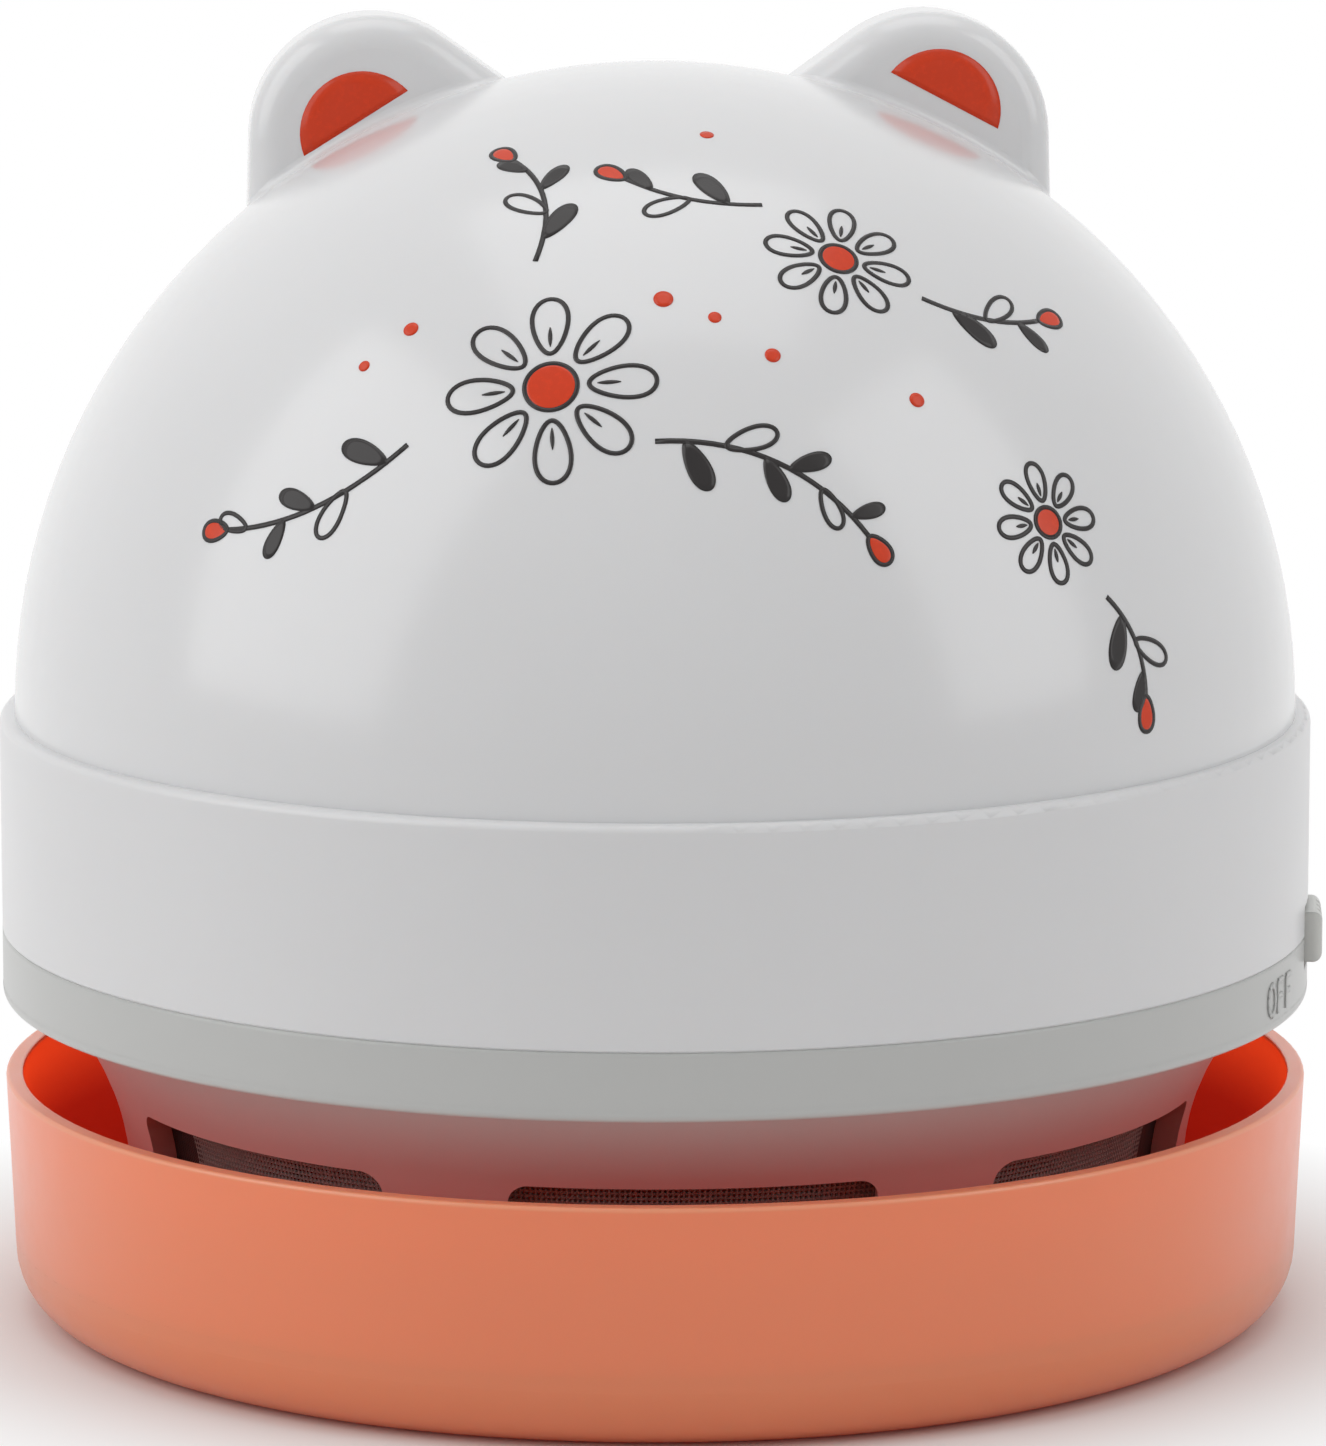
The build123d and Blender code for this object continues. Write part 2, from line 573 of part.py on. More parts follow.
# ---- motor ----------------------------------------------------------------------------------------
def motor_can():
    """Steel can with two flats, open at the top, with the lower bush's seat."""
    can = stadium(MOTOR_R, MOTOR_FLAT, DECK_TOP_Z, END_CAP_Z)
    inner = stadium(MOTOR_R - MOTOR_CAN_T, MOTOR_FLAT - MOTOR_CAN_T, DECK_TOP_Z + MOTOR_CAN_T, END_CAP_Z)
    return can - inner - rod(BUSH_R + FIXED_FIT, DECK_TOP_Z, DECK_TOP_Z + MOTOR_CAN_T)


def motor_bushes():
    """Sintered bushes, one in the can's floor and one in the end cap."""
    inner_r = SHAFT_R + RUN_FIT
    low = tube(BUSH_R, inner_r, DECK_TOP_Z - BOSS_OUT, DECK_TOP_Z - BOSS_OUT + BUSH_L)
    high = tube(BUSH_R, inner_r, MOTOR_TOP_Z + BOSS_OUT - BUSH_L, MOTOR_TOP_Z + BOSS_OUT)
    return [low, high]


def motor_magnets():
    """Two curved magnets against the can's round sides."""
    bottom, top = ARMATURE_Z - MAGNET_OVERHANG, ARMATURE_Z + ARMATURE_L + MAGNET_OVERHANG
    one = tube(MOTOR_R - MOTOR_CAN_T - FIXED_FIT, ARMATURE_R + AIR_GAP, bottom, top)
    one = one & sector(MAGNET_ARC, MOTOR_R * 2, bottom, top)
    room = MOTOR_FLAT - MOTOR_CAN_T - FIXED_FIT
    one = one & Pos(0, 0, bottom) * Box(MOTOR_R * 2, room * 2, top - bottom, align=UP)
    return [one, Rot(0, 0, 180) * one]


def motor_end_cap():
    """Plastic cap that closes the can and holds the upper bush."""
    lip = MOTOR_CAN_T + FIXED_FIT
    cap = stadium(MOTOR_R, MOTOR_FLAT, END_CAP_Z, MOTOR_TOP_Z)
    cap += stadium(MOTOR_R - lip, MOTOR_FLAT - lip, END_CAP_Z - END_CAP_T, END_CAP_Z)
    cap -= rod(MOTOR_R - lip - END_CAP_T, END_CAP_Z - END_CAP_T, END_CAP_Z)
    for terminal in motor_terminals():
        cap -= terminal
    return cap - rod(BUSH_R + FIXED_FIT, END_CAP_Z, MOTOR_TOP_Z)


def motor_terminals():
    """Brass tabs out of either round side of the end cap."""
    start_x = MOTOR_R - 2 * END_CAP_T
    size = (TERMINAL_X - start_x, TERMINAL_W, TERMINAL_T)
    one = Pos(start_x, 0, END_CAP_Z + END_CAP_T / 2) * Box(*size, align=FROM_X)
    return [one, Rot(0, 0, 180) * one]


def motor_shaft():
    """Steel shaft through both bushes, with the impeller's seat below."""
    return rod(SHAFT_R, SHAFT_BOTTOM_Z, MOTOR_TOP_Z + BOSS_OUT - FIXED_FIT)


def motor_armature():
    """Three-pole core with its coils and commutator, pressed on the shaft."""
    top = ARMATURE_Z + ARMATURE_L
    core = rod(COIL_W / 2, ARMATURE_Z, top)
    shoe = tube(ARMATURE_R, ARMATURE_R - POLE_SHOE_T, ARMATURE_Z, top)
    shoe = shoe & sector(POLE_ARC, ARMATURE_R * 2, ARMATURE_Z, top)
    neck_l = ARMATURE_R - POLE_SHOE_T / 2
    neck = Box(neck_l, POLE_NECK_W, ARMATURE_L, align=(Align.MIN, Align.CENTER, Align.MIN))
    coil_l = ARMATURE_R - POLE_SHOE_T - COIL_W / 2
    coil = Box(coil_l, COIL_W, ARMATURE_L + 2 * POLE_SHOE_T, align=UP)
    coil = fillet(coil.edges().filter_by(Axis.X), POLE_SHOE_T / 2)
    coil_x = COIL_W / 2 + coil_l / 2
    for number in range(ARMATURE_POLES):
        pole = shoe + Pos(0, 0, ARMATURE_Z) * neck + Pos(coil_x, 0, ARMATURE_Z - POLE_SHOE_T) * coil
        core += Rot(0, 0, 360 / ARMATURE_POLES * number) * pole
    core += rod(COMMUTATOR_R, ARMATURE_Z, top + COMMUTATOR_L)
    return core - rod(SHAFT_R + FIXED_FIT, ARMATURE_Z - POLE_SHOE_T, top + COMMUTATOR_L)


def impeller():
    """Back plate with swept blades below it and a hub on the shaft."""
    plate_z = BLADE_Z + BLADE_H
    wheel = rod(IMPELLER_R, plate_z, IMPELLER_TOP_Z) + rod(IMPELLER_HUB_R, BLADE_Z, plate_z)
    tip_r = IMPELLER_R - BLADE_T
    stations = ((BLADE_IN_R, 0), ((BLADE_IN_R + tip_r) / 2, BLADE_BEND), (tip_r, 1))
    curve = [Vector(radius, 0).rotate(Axis.Z, BLADE_SWEEP * share) for radius, share in stations]
    blade = extrude(SlotArc(ThreePointArc(*curve), BLADE_T), BLADE_H + FIXED_FIT)
    for number in range(BLADES):
        wheel += Pos(0, 0, BLADE_Z) * Rot(0, 0, 360 / BLADES * number) * blade
    return wheel - rod(SHAFT_R + FIXED_FIT, BLADE_Z, IMPELLER_TOP_Z)


# ---- cells, tray and contacts ---------------------------------------------------------------------
def cell(side):
    """An AA cell along X: the front one (side -1) has its plus end at +X, the back one at -X."""
    body = Cylinder(CELL_R, CELL_L - CELL_NUB_L, align=UP)
    body = fillet(body.edges().filter_by(GeomType.CIRCLE), CELL_EDGE)
    body += Pos(0, 0, CELL_L - CELL_NUB_L) * Cylinder(CELL_NUB_R, CELL_NUB_L, align=UP)
    body = Rot(0, 90, 0) * body
    along = Pos(SPRING_ROOM - CONTACT_X, 0, 0) * body
    return Pos(0, side * CELL_Y, CELL_Z) * (along if side < 0 else Rot(0, 0, 180) * along)


def battery_tray():
    """Tray with cradles and end walls for the cells, and a hood over the motor."""
    tray = rod(TRAY_R, TRAY_Z, TRAY_TOP_Z)
    hood_top = MOTOR_TOP_Z + BOSS_OUT + HOOD_WALL + FIXED_FIT
    hood_h = hood_top - TRAY_Z
    hood = Pos(0, 0, TRAY_Z) * Box((HOOD_X + HOOD_WALL) * 2, (HOOD_Y + HOOD_WALL) * 2, hood_h, align=UP)
    hood = fillet(hood.edges().filter_by(Axis.Z) + hood.edges().group_by(Axis.Z)[-1], HOOD_EDGE)
    tray += hood
    for side in (-1, 1):
        tray += cell_bay(side)
    room = MOTOR_TOP_Z + FIXED_FIT - TRAY_Z
    tray -= Pos(0, 0, TRAY_Z) * Box(HOOD_X * 2, HOOD_Y * 2, room, align=UP)
    tray -= rod(BUSH_R + LOOSE_FIT, TRAY_Z, hood_top - HOOD_WALL)
    bore = rod(SCREW_R + LOOSE_FIT, TRAY_Z, TRAY_TOP_Z)
    for angle in POST_ANGLES:
        tray -= around(POST_RING_R, angle, bore)
    slot = Box(CONTACT_T + 2 * FIXED_FIT, CONTACT_TAIL_W + 2 * FIXED_FIT, TRAY_T, align=UP)
    for end in (-1, 1):
        for side in (-1, 1):
            tray -= Pos(end * (CONTACT_X + CONTACT_T / 2), side * CELL_Y, TRAY_Z) * slot
    return tray


def cell_bay(side):
    """Two cradles and two end walls of one cell."""
    cradle = Box(CRADLE_T, CRADLE_W, CRADLE_H, align=UP)
    wall = Box(TRAY_WALL, END_WALL_W, END_WALL_H, align=UP)
    wall = fillet(wall.edges().filter_by(Axis.X).group_by(Axis.Z)[-1], END_WALL_CORNER)
    bay = Part()
    for end in (-1, 1):
        bay += Pos(end * CRADLE_X, 0, TRAY_TOP_Z) * cradle
    bay -= Pos(0, 0, CELL_Z) * Rot(0, 90, 0) * Cylinder(CELL_R + LOOSE_FIT / 2, CELL_L)
    for end in (-1, 1):
        bay += Pos(end * (END_WALL_X + TRAY_WALL / 2), 0, TRAY_TOP_Z) * wall
    return Pos(0, side * CELL_Y, 0) * bay


def contact_blade(end, side):
    """Flat contact against an end wall, with a solder tail through the tray."""
    plate = Pos(0, 0, TRAY_TOP_Z) * Box(CONTACT_T, CONTACT_W, END_WALL_H - END_WALL_CORNER, align=UP)
    tail = Pos(0, 0, TRAY_Z - CONTACT_TAIL) * Box(CONTACT_T, CONTACT_TAIL_W, CONTACT_TAIL + TRAY_T, align=UP)
    return Pos(end * (CONTACT_X + CONTACT_T / 2), side * CELL_Y, 0) * (plate + tail)


def contact_plates():
    """The two separate contacts at the switch's end."""
    return [contact_blade(1, side) for side in (-1, 1)]


def bridge_plate():
    """The joined contacts at the other end, bridged under the tray."""
    bridge = Box(CONTACT_T, 2 * CELL_Y, CONTACT_TAIL_W / 2, align=UP)
    place = Pos(-(CONTACT_X + CONTACT_T / 2), 0, TRAY_Z - CONTACT_TAIL)
    return contact_blade(-1, -1) + contact_blade(-1, 1) + place * bridge


def contact_springs():
    """Conical springs at the minus ends: front cell at -X, back cell at +X."""
    height = SPRING_ROOM - 2 * SPRING_WIRE_R
    cone = math.degrees(math.atan2(SPRING_BIG_R - SPRING_SMALL_R, height))
    path = Helix(height / SPRING_TURNS, height, SPRING_BIG_R, cone_angle=-cone)
    start = Plane(origin=path @ 0, z_dir=path % 0)
    coil = sweep(start * Circle(SPRING_WIRE_R), path=path)
    along = Pos(SPRING_WIRE_R - CONTACT_X, 0, 0) * Rot(0, 90, 0) * coil
    front = Pos(0, -CELL_Y, CELL_Z) * along
    back = Pos(0, CELL_Y, CELL_Z) * Rot(0, 0, 180) * along
    return [front, back]


# ---- slide switch ---------------------------------------------------------------------------------
def switch_body():
    """Moulded switch case with a cavity for the slider and a slot for its stem."""
    case = Pos(SWITCH_X, 0, SWITCH_MID_Z) * Box(SWITCH_D, SWITCH_L, SWITCH_H, align=FROM_X)
    case = fillet(case.edges().filter_by(Axis.X), SWITCH_EDGE)
    inside = (SWITCH_D - 2 * SWITCH_WALL, SWITCH_L - 2 * SWITCH_WALL, SWITCH_H - 2 * SWITCH_WALL)
    case -= Pos(SWITCH_X + SWITCH_WALL, 0, SWITCH_MID_Z) * Box(*inside, align=FROM_X)
    slot_l = STEM_W + SWITCH_TRAVEL + 2 * LOOSE_FIT
    slot = Box(SWITCH_WALL * 2, slot_l, STEM_W + 2 * LOOSE_FIT)
    case = at_switch(case - Pos(SWITCH_FACE_X - SWITCH_WALL / 2, 0, SWITCH_MID_Z) * slot)
    for tab in switch_terminals():
        case -= tab
    return case


def switch_slider():
    """Contact carrier inside the switch, with the stem that the knob drives."""
    height = SWITCH_H - 2 * SWITCH_WALL - 2 * LOOSE_FIT
    back_x = SWITCH_FACE_X - SWITCH_WALL - LOOSE_FIT - SLIDER_D
    stem_l = KNOB_PLATE_X + KNOB_PLATE_T / 2 - back_x
    slider = Box(SLIDER_D, SLIDER_L, height, align=FROM_X) + Box(stem_l, STEM_W, STEM_W, align=FROM_X)
    return at_switch(Pos(back_x, KNOB_REST_Y, SWITCH_MID_Z) * slider)


def switch_terminals():
    """Three solder tabs out of the switch's back."""
    tab = Box(SWITCH_TAB_L + SWITCH_WALL, SWITCH_TAB_W, TERMINAL_T, align=FROM_X)
    row = Pos(SWITCH_X - SWITCH_TAB_L, 0, SWITCH_MID_Z)
    return [at_switch(row * Pos(0, place * SWITCH_TAB_PITCH, 0) * tab) for place in (-1, 0, 1)]


def switch_knob():
    """Ribbed knob in the window, on a plate that closes the window from inside."""
    plate = Pos(KNOB_PLATE_X, 0, DECK_TOP_Z + LOOSE_FIT + KNOB_PLATE_H / 2)
    knob = plate * Box(KNOB_PLATE_T, KNOB_PLATE_L, KNOB_PLATE_H, align=FROM_X)
    reach = BODY_R + KNOB_PROUD - KNOB_PLATE_X
    button = Box(reach, KNOB_L, KNOB_H, align=FROM_X)
    button = fillet(button.faces().sort_by(Axis.X)[-1].edges(), KNOB_ROUND)
    groove = Cylinder(KNOB_GROOVE_R, KNOB_H)
    for number in range(KNOB_GROOVES):
        groove_y = (number - (KNOB_GROOVES - 1) / 2) * KNOB_GROOVE_PITCH
        button -= Pos(reach, groove_y, 0) * groove
    knob += Pos(KNOB_PLATE_X, 0, SPLIT_Z) * button
    hole_w = STEM_W + 2 * FIXED_FIT
    hole = Box(KNOB_PLATE_T / 2 + FIXED_FIT, hole_w, hole_w, align=FROM_X)
    knob -= Pos(KNOB_PLATE_X, 0, SWITCH_MID_Z) * hole
    return at_switch(Pos(0, KNOB_REST_Y, 0) * knob)


# ---- wires ----------------------------------------------------------------------------------------
def wire(points, radii):
    """A round wire along straight runs joined by tangent arcs."""
    path = FilletPolyline(*points, radius=radii)
    return sweep(Plane(origin=path @ 0, z_dir=path % 0) * Circle(WIRE_R), path=path)


def tab_point(place, inward):
    """A point in line with a switch tab, at a distance in from the tab's end."""
    point = Vector(SWITCH_X - SWITCH_TAB_L - inward, place * SWITCH_TAB_PITCH, SWITCH_MID_Z)
    return point.rotate(Axis.Z, SWITCH_ANGLE)


def lead_wires():
    """Leads from the front cell to the switch, from the switch to the motor, and back to the rear cell."""
    tail_x = CONTACT_X + CONTACT_T / 2
    tail_z = TRAY_Z - CONTACT_TAIL
    run_z = DECK_TOP_Z + WIRE_RUN_H
    side_x = TERMINAL_X - WIRE_R
    around_y = MOTOR_FLAT + WIRE_CLEAR
    terminal_z = END_CAP_Z + END_CAP_T / 2 - TERMINAL_T / 2
    to_switch = [
        (tail_x, -CELL_Y, tail_z),
        (tail_x, -CELL_Y, run_z),
        tab_point(-1, WIRE_TAB_L),
        tab_point(-1, 0),
    ]
    to_motor = [
        tab_point(0, 0),
        tab_point(0, 2 * WIRE_TAB_L),
        (side_x, 0, run_z + WIRE_TAB_L),
        (side_x, 0, terminal_z),
    ]
    to_cell = [
        (tail_x, CELL_Y, tail_z),
        (tail_x, CELL_Y, run_z + WIRE_R),
        (side_x, around_y, run_z),
        (-side_x / 2, around_y, run_z),
        (-side_x, WIRE_BEND, run_z + WIRE_BEND),
        (-side_x, 0, run_z + 2 * WIRE_TAB_L),
        (-side_x, 0, terminal_z),
    ]
    return [
        wire(to_switch, [WIRE_BEND, WIRE_TIGHT_BEND]),
        wire(to_motor, [WIRE_BEND, WIRE_BEND]),
        wire(to_cell, [WIRE_BEND, WIRE_BEND, WIRE_WIDE_BEND, WIRE_BEND, WIRE_BEND]),
    ]


# ---- export ---------------------------------------------------------------------------------------
NODES = {
    "dust_cup": dust_cup,
    "cup_base": cup_base,
    "intake_tube": intake_tube,
    "cage_seat": cage_seat,
    "intake_brush": intake_brush,
    "filter_cage": filter_cage,
    "filter_mesh": filter_mesh,
    "cage_screws": cage_screws,
    "lower_housing": lower_housing,
    "middle_housing": middle_housing,
    "housing_screws": housing_screws,
    "dome_cover": dome_cover,
    "motor_can": motor_can,
    "motor_bushes": motor_bushes,
    "motor_magnets": motor_magnets,
    "motor_end_cap": motor_end_cap,
    "motor_terminals": motor_terminals,
    "motor_shaft": motor_shaft,
    "motor_armature": motor_armature,
    "impeller": impeller,
    "battery_front": lambda: cell(-1),
    "battery_back": lambda: cell(1),
    "battery_tray": battery_tray,
    "contact_plates": contact_plates,
    "bridge_plate": bridge_plate,
    "contact_springs": contact_springs,
    "switch_body": switch_body,
    "switch_slider": switch_slider,
    "switch_terminals": switch_terminals,
    "switch_knob": switch_knob,
    "lead_wires": lead_wires,
}

os.makedirs("parts", exist_ok=True)
for name, make in NODES.items():
    made = make()
    shape = Compound(children=made) if isinstance(made, list) else made
    export_step(shape, f"parts/{name}.step")
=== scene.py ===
import json
import math

import bmesh
import bpy
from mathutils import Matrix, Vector


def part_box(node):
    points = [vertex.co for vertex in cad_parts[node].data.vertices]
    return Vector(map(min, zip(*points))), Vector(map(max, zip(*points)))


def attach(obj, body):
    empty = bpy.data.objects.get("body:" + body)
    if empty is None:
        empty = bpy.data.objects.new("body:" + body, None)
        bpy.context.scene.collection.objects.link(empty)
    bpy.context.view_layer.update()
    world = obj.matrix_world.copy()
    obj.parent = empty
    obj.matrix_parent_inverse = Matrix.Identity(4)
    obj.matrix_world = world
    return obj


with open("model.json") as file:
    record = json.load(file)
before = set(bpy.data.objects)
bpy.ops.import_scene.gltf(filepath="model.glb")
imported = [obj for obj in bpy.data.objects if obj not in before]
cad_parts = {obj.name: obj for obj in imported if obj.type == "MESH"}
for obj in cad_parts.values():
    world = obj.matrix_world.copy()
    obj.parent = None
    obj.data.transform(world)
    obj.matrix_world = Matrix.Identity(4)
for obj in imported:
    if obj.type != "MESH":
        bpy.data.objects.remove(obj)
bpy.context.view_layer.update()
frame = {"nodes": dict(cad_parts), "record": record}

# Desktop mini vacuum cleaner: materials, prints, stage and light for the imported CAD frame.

NODES = frame["nodes"]

# ---- sizes, in metres ------------------------------------------------------------------------------
MM = 0.001
DOME_LOW, DOME_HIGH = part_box("dome_cover")
DOME_R = (DOME_HIGH.x - DOME_LOW.x) / 2
DOME_RISE = 0.3 * MM                   # straight rise between the seam and the half sphere
DOME_CENTRE = Vector((0, 0, DOME_LOW.z + DOME_RISE))
BODY_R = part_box("lower_housing")[1].x
RING_LOW_Z, SPLIT_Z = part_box("lower_housing")[0].z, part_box("middle_housing")[0].z
CUP_TOP_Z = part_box("dust_cup")[1].z
PRINT_LIFT = 0.02 * MM                 # height of a print over the surface that carries it
EAR_FACE_Y = 2.6 * MM                  # the ears' flat fronts

# ---- the photograph's frame ------------------------------------------------------------------------
PHOTO_W, PHOTO_H = 1326, 1446
SENSOR_MM = 36.0
FOCAL_PX = 8329.0
AXIS_PX = 655.04                       # column of the object's axis in the photograph
CAMERA_DISTANCE = 540 * MM
CAMERA_HEIGHT = 133.5 * MM
CAMERA_AZIMUTH = -4.0
CAMERA_PITCH = 9.976
CLIP_NEAR, CLIP_FAR = 0.05, 20.0       # in metres


# ---- node helpers ----------------------------------------------------------------------------------
MIX_FACTOR, MIX_A, MIX_B, MIX_RESULT = 0, 6, 7, 2   # sockets of a Mix node that are used for colours


class Nodes:
    """The node tree of a material or world; its methods return an output socket, and surface the owner."""

    def __init__(self, owner, output):
        self.owner = owner
        owner.use_nodes = True
        self.tree = owner.node_tree
        self.tree.nodes.clear()
        self.output = self.tree.nodes.new("ShaderNode" + output)

    def add(self, kind, out=0, settings=None, **inputs):
        """Adds a node. An input goes by its label, or by i and its number where labels repeat."""
        node = self.tree.nodes.new("ShaderNode" + kind)
        for key, value in (settings or {}).items():
            setattr(node, key, value)
        for key, value in inputs.items():
            numbered = key[0] == "i" and key[1:].isdigit()
            self.put(node.inputs[int(key[1:]) if numbered else key.replace("_", " ")], value)
        return node.outputs[out]

    def put(self, socket, value):
        if isinstance(value, bpy.types.NodeSocket):
            self.tree.links.new(value, socket)
        elif isinstance(value, tuple) and len(value) == 3 and socket.type == "RGBA":
            socket.default_value = (*value, 1)
        else:
            socket.default_value = value

    def math(self, operation, a, b=0.0, c=0.0):
        return self.add("Math", settings={"operation": operation}, i0=a, i1=b, i2=c)

    def position(self):
        return self.add("TexCoord", out="Object")

    def parts(self, vector):
        return list(self.add("SeparateXYZ", Vector=vector).node.outputs)

    def axes(self):
        return self.parts(self.position())

    def noise(self, scale, detail=3.0, roughness=0.55, vector=None):
        place = vector or self.position()
        return self.add("TexNoise", Vector=place, Scale=scale, Detail=detail, Roughness=roughness)

    def remap(self, value, low, high, to_low, to_high):
        return self.add("MapRange", i0=value, i1=low, i2=high, i3=to_low, i4=to_high)

    def mix(self, factor, a, b):
        node = self.tree.nodes.new("ShaderNodeMix")
        node.data_type = "RGBA"
        self.put(node.inputs[MIX_FACTOR], factor)
        self.put(node.inputs[MIX_A], a)
        self.put(node.inputs[MIX_B], b)
        return node.outputs[MIX_RESULT]

    def bump(self, height, strength, distance, normal=None):
        more = {"Normal": normal} if normal else {}
        return self.add("Bump", Height=height, Strength=strength, Distance=distance, **more)

    def sees_backdrop(self):
        """1 for the rays that show the white backdrop: camera, glossy and transmission rays."""
        path = self.add("LightPath").node.outputs
        shows = path["Is Camera Ray"]
        for kind in ("Is Glossy Ray", "Is Transmission Ray"):
            shows = self.math("MAXIMUM", shows, path[kind])
        return shows

    def surface(self, socket):
        self.tree.links.new(socket, self.output.inputs["Surface"])
        return self.owner

    def principled(self, **inputs):
        return self.surface(self.add("BsdfPrincipled", **inputs))


def material_nodes(name):
    return Nodes(bpy.data.materials.new(name), "OutputMaterial")


def srgb(painted_shade, green, blue):
    """An sRGB colour, 0 to 255, as the linear values that a shader takes."""
    def linear(value):
        value /= 255
        return value / 12.92 if value <= 0.04045 else ((value + 0.055) / 1.055) ** 2.4
    return (linear(painted_shade), linear(green), linear(blue))


def shade(colour, factor):
    return tuple(channel * factor for channel in colour)


# ---- materials -------------------------------------------------------------------------------------
# The second and third colours are painted shade deep inside the cup and painted light on its inner wall near
# the rim; the plastic is one orange throughout.
CUP_OUTSIDE, CUP_PAINTED_SHADE, CUP_PAINTED_LIP_LIGHT = srgb(252, 150, 102), srgb(205, 88, 70), srgb(255, 144, 98)
# The first colour is a painted glow on the rim, where light comes through the wall; the second tints the
# light that the wall lets through.
CUP_RIM_PAINTED_GLOW, CUP_GLOW = srgb(248, 180, 138), srgb(255, 152, 108)
GLOW_OUTSIDE, GLOW_INSIDE = 0.2, 0.8   # share of the light that passes the wall's outer and inner skin
RIM_GLOW_FADE = (0.35 * MM, 0.2 * MM)       # depths under the rim between which the painted glow of the pale edge sets in
RIM_GLOW_SHARE = 0.6                        # share of the painted glow colour in the rim
INWARD_FADE = (-0.1, -0.5)             # outward part of the normal, from the outer to the inner wall
LEVEL_FADE = (0.3, 0.7)                # upward part of the normal, from the wall to the floor
LIP_LIGHT_DEPTH = 6 * MM                     # depth under the rim over which the inner wall's painted light gives way to painted shade
CUP_FLOOR_SHADE_FADE = (30 * MM, 40 * MM)    # radii between which the painted shade on the cup's floor gives way
THREAD_PITCH = 0.34 * MM               # of the filter mesh
MESH_BAND_ANGLE, MESH_BAND_HALF = math.radians(68.5), math.radians(3.5)   # angle off the front and half width of the two black bands on the mesh
CELL_BAND = 11 * MM                    # start of the lighter band, from the cell's middle to its plus end
SLEEVE_SHIFT, SLEEVE_HALF = 1.3 * MM, 24.2 * MM   # middle of a cell's sleeve and its half length
BACK_LEAD_Y = 2 * MM                   # wires further back than this are the rear lead
FLOOR_FADE = (40 * MM, 65 * MM)        # radii between which the floor turns as white as the backdrop
CLOUD_SCALE, GLOSS_SCALE, WAVE_SCALE, GRAIN_SCALE = 55, 90, 38, 5200   # noise per metre, for moulded plastic


def plastic(
    name, colour, roughness, coat=0.0, coat_roughness=0.1, wave=0.0, grain=0.0, scatter=0.0, soften=0.0,
):
    """Moulded plastic with cloudy tone and uneven gloss. wave, grain and soften are in millimetres."""
    s = material_nodes(name)
    cloud = s.noise(CLOUD_SCALE, 4)
    tone = s.mix(cloud, shade(colour, 0.98), shade(colour, 1.02))
    handled = s.remap(s.noise(GLOSS_SCALE, 2), 0.3, 0.7, roughness * 0.92, roughness * 1.12)
    skin = s.add("Bevel", settings={"samples": 8}, Radius=soften * MM) if soften else None
    if wave:
        skin = s.bump(s.noise(WAVE_SCALE, 1), 1.0, wave * MM, skin)
    if grain:
        skin = s.bump(s.noise(GRAIN_SCALE, 2), 0.6, grain * MM, skin)
    inputs = {"Base_Color": tone, "Roughness": handled, "IOR": 1.5}
    if skin:
        inputs["Normal"] = skin
    if coat:
        inputs["Coat_Weight"] = coat
        inputs["Coat_Roughness"] = coat_roughness
    if scatter:
        inputs["Subsurface_Weight"] = scatter
        inputs["Subsurface_Radius"] = (1.0, 0.75, 0.6)
        inputs["Subsurface_Scale"] = 1.2 * MM
    return s.principled(**inputs)


def cup_plastic():
    """Orange plastic: hazy outside; painted shade deep inside and painted light on the inner wall near the
    rim, with a share that lets light through; a painted glow where the rim's pale edge lets light through.
    """
    s = material_nodes("cup_orange")
    x, y, z = s.axes()
    normal_x, normal_y, normal_z = s.parts(s.add("NewGeometry", out="Normal"))
    radius = s.math("SQRT", s.math("ADD", s.math("MULTIPLY", x, x), s.math("MULTIPLY", y, y)))
    outward = s.math("DIVIDE", s.math("MULTIPLY_ADD", x, normal_x, s.math("MULTIPLY", y, normal_y)), radius)
    below_rim = s.remap(z, CUP_TOP_Z - RIM_GLOW_FADE[0], CUP_TOP_Z - RIM_GLOW_FADE[1], 1.0, 0.0)
    wall = s.remap(outward, *INWARD_FADE, 0.0, 1.0)
    level = s.remap(normal_z, *LEVEL_FADE, 0.0, 1.0)
    floor = s.math("MULTIPLY", level, s.remap(radius, *CUP_FLOOR_SHADE_FADE, 1.0, 0.0))
    inner_wall = s.math("MULTIPLY", wall, below_rim)
    inside = s.math("MAXIMUM", inner_wall, floor)
    cloud = s.noise(45, 4)
    outer = s.mix(cloud, shade(CUP_OUTSIDE, 0.97), shade(CUP_OUTSIDE, 1.03))
    # Painted light and shade on the inside: lighter near the rim, darker further down.
    painted_shade = s.mix(s.remap(z, CUP_TOP_Z - LIP_LIGHT_DEPTH, CUP_TOP_Z, 0.0, 1.0), CUP_PAINTED_SHADE, CUP_PAINTED_LIP_LIGHT)
    body = s.mix(inside, outer, painted_shade)
    # Painted glow on the rim's pale edge.
    tone = s.mix(s.remap(below_rim, 0.0, 1.0, RIM_GLOW_SHARE, 0.0), body, CUP_RIM_PAINTED_GLOW)
    handled = s.remap(s.noise(150, 5, 0.7), 0.35, 0.7, 0.28, 0.38)
    skin = s.bump(s.noise(4200, 2), 0.4, 0.006 * MM, s.bump(s.noise(30, 1), 1.0, 0.02 * MM))
    shell = s.add(
        "BsdfPrincipled", Base_Color=tone, Roughness=handled, Normal=skin,
        Coat_Weight=0.6, Coat_Roughness=0.22,
        Subsurface_Weight=0.15, Subsurface_Radius=(1.0, 0.3, 0.12), Subsurface_Scale=1.0 * MM,
    )
    glow = s.add("BsdfTranslucent", Color=s.mix(inside, CUP_GLOW, painted_shade))
    share = s.remap(inner_wall, 0.0, 1.0, GLOW_OUTSIDE, GLOW_INSIDE)
    return s.surface(s.add("MixShader", i0=share, i1=shell, i2=glow))


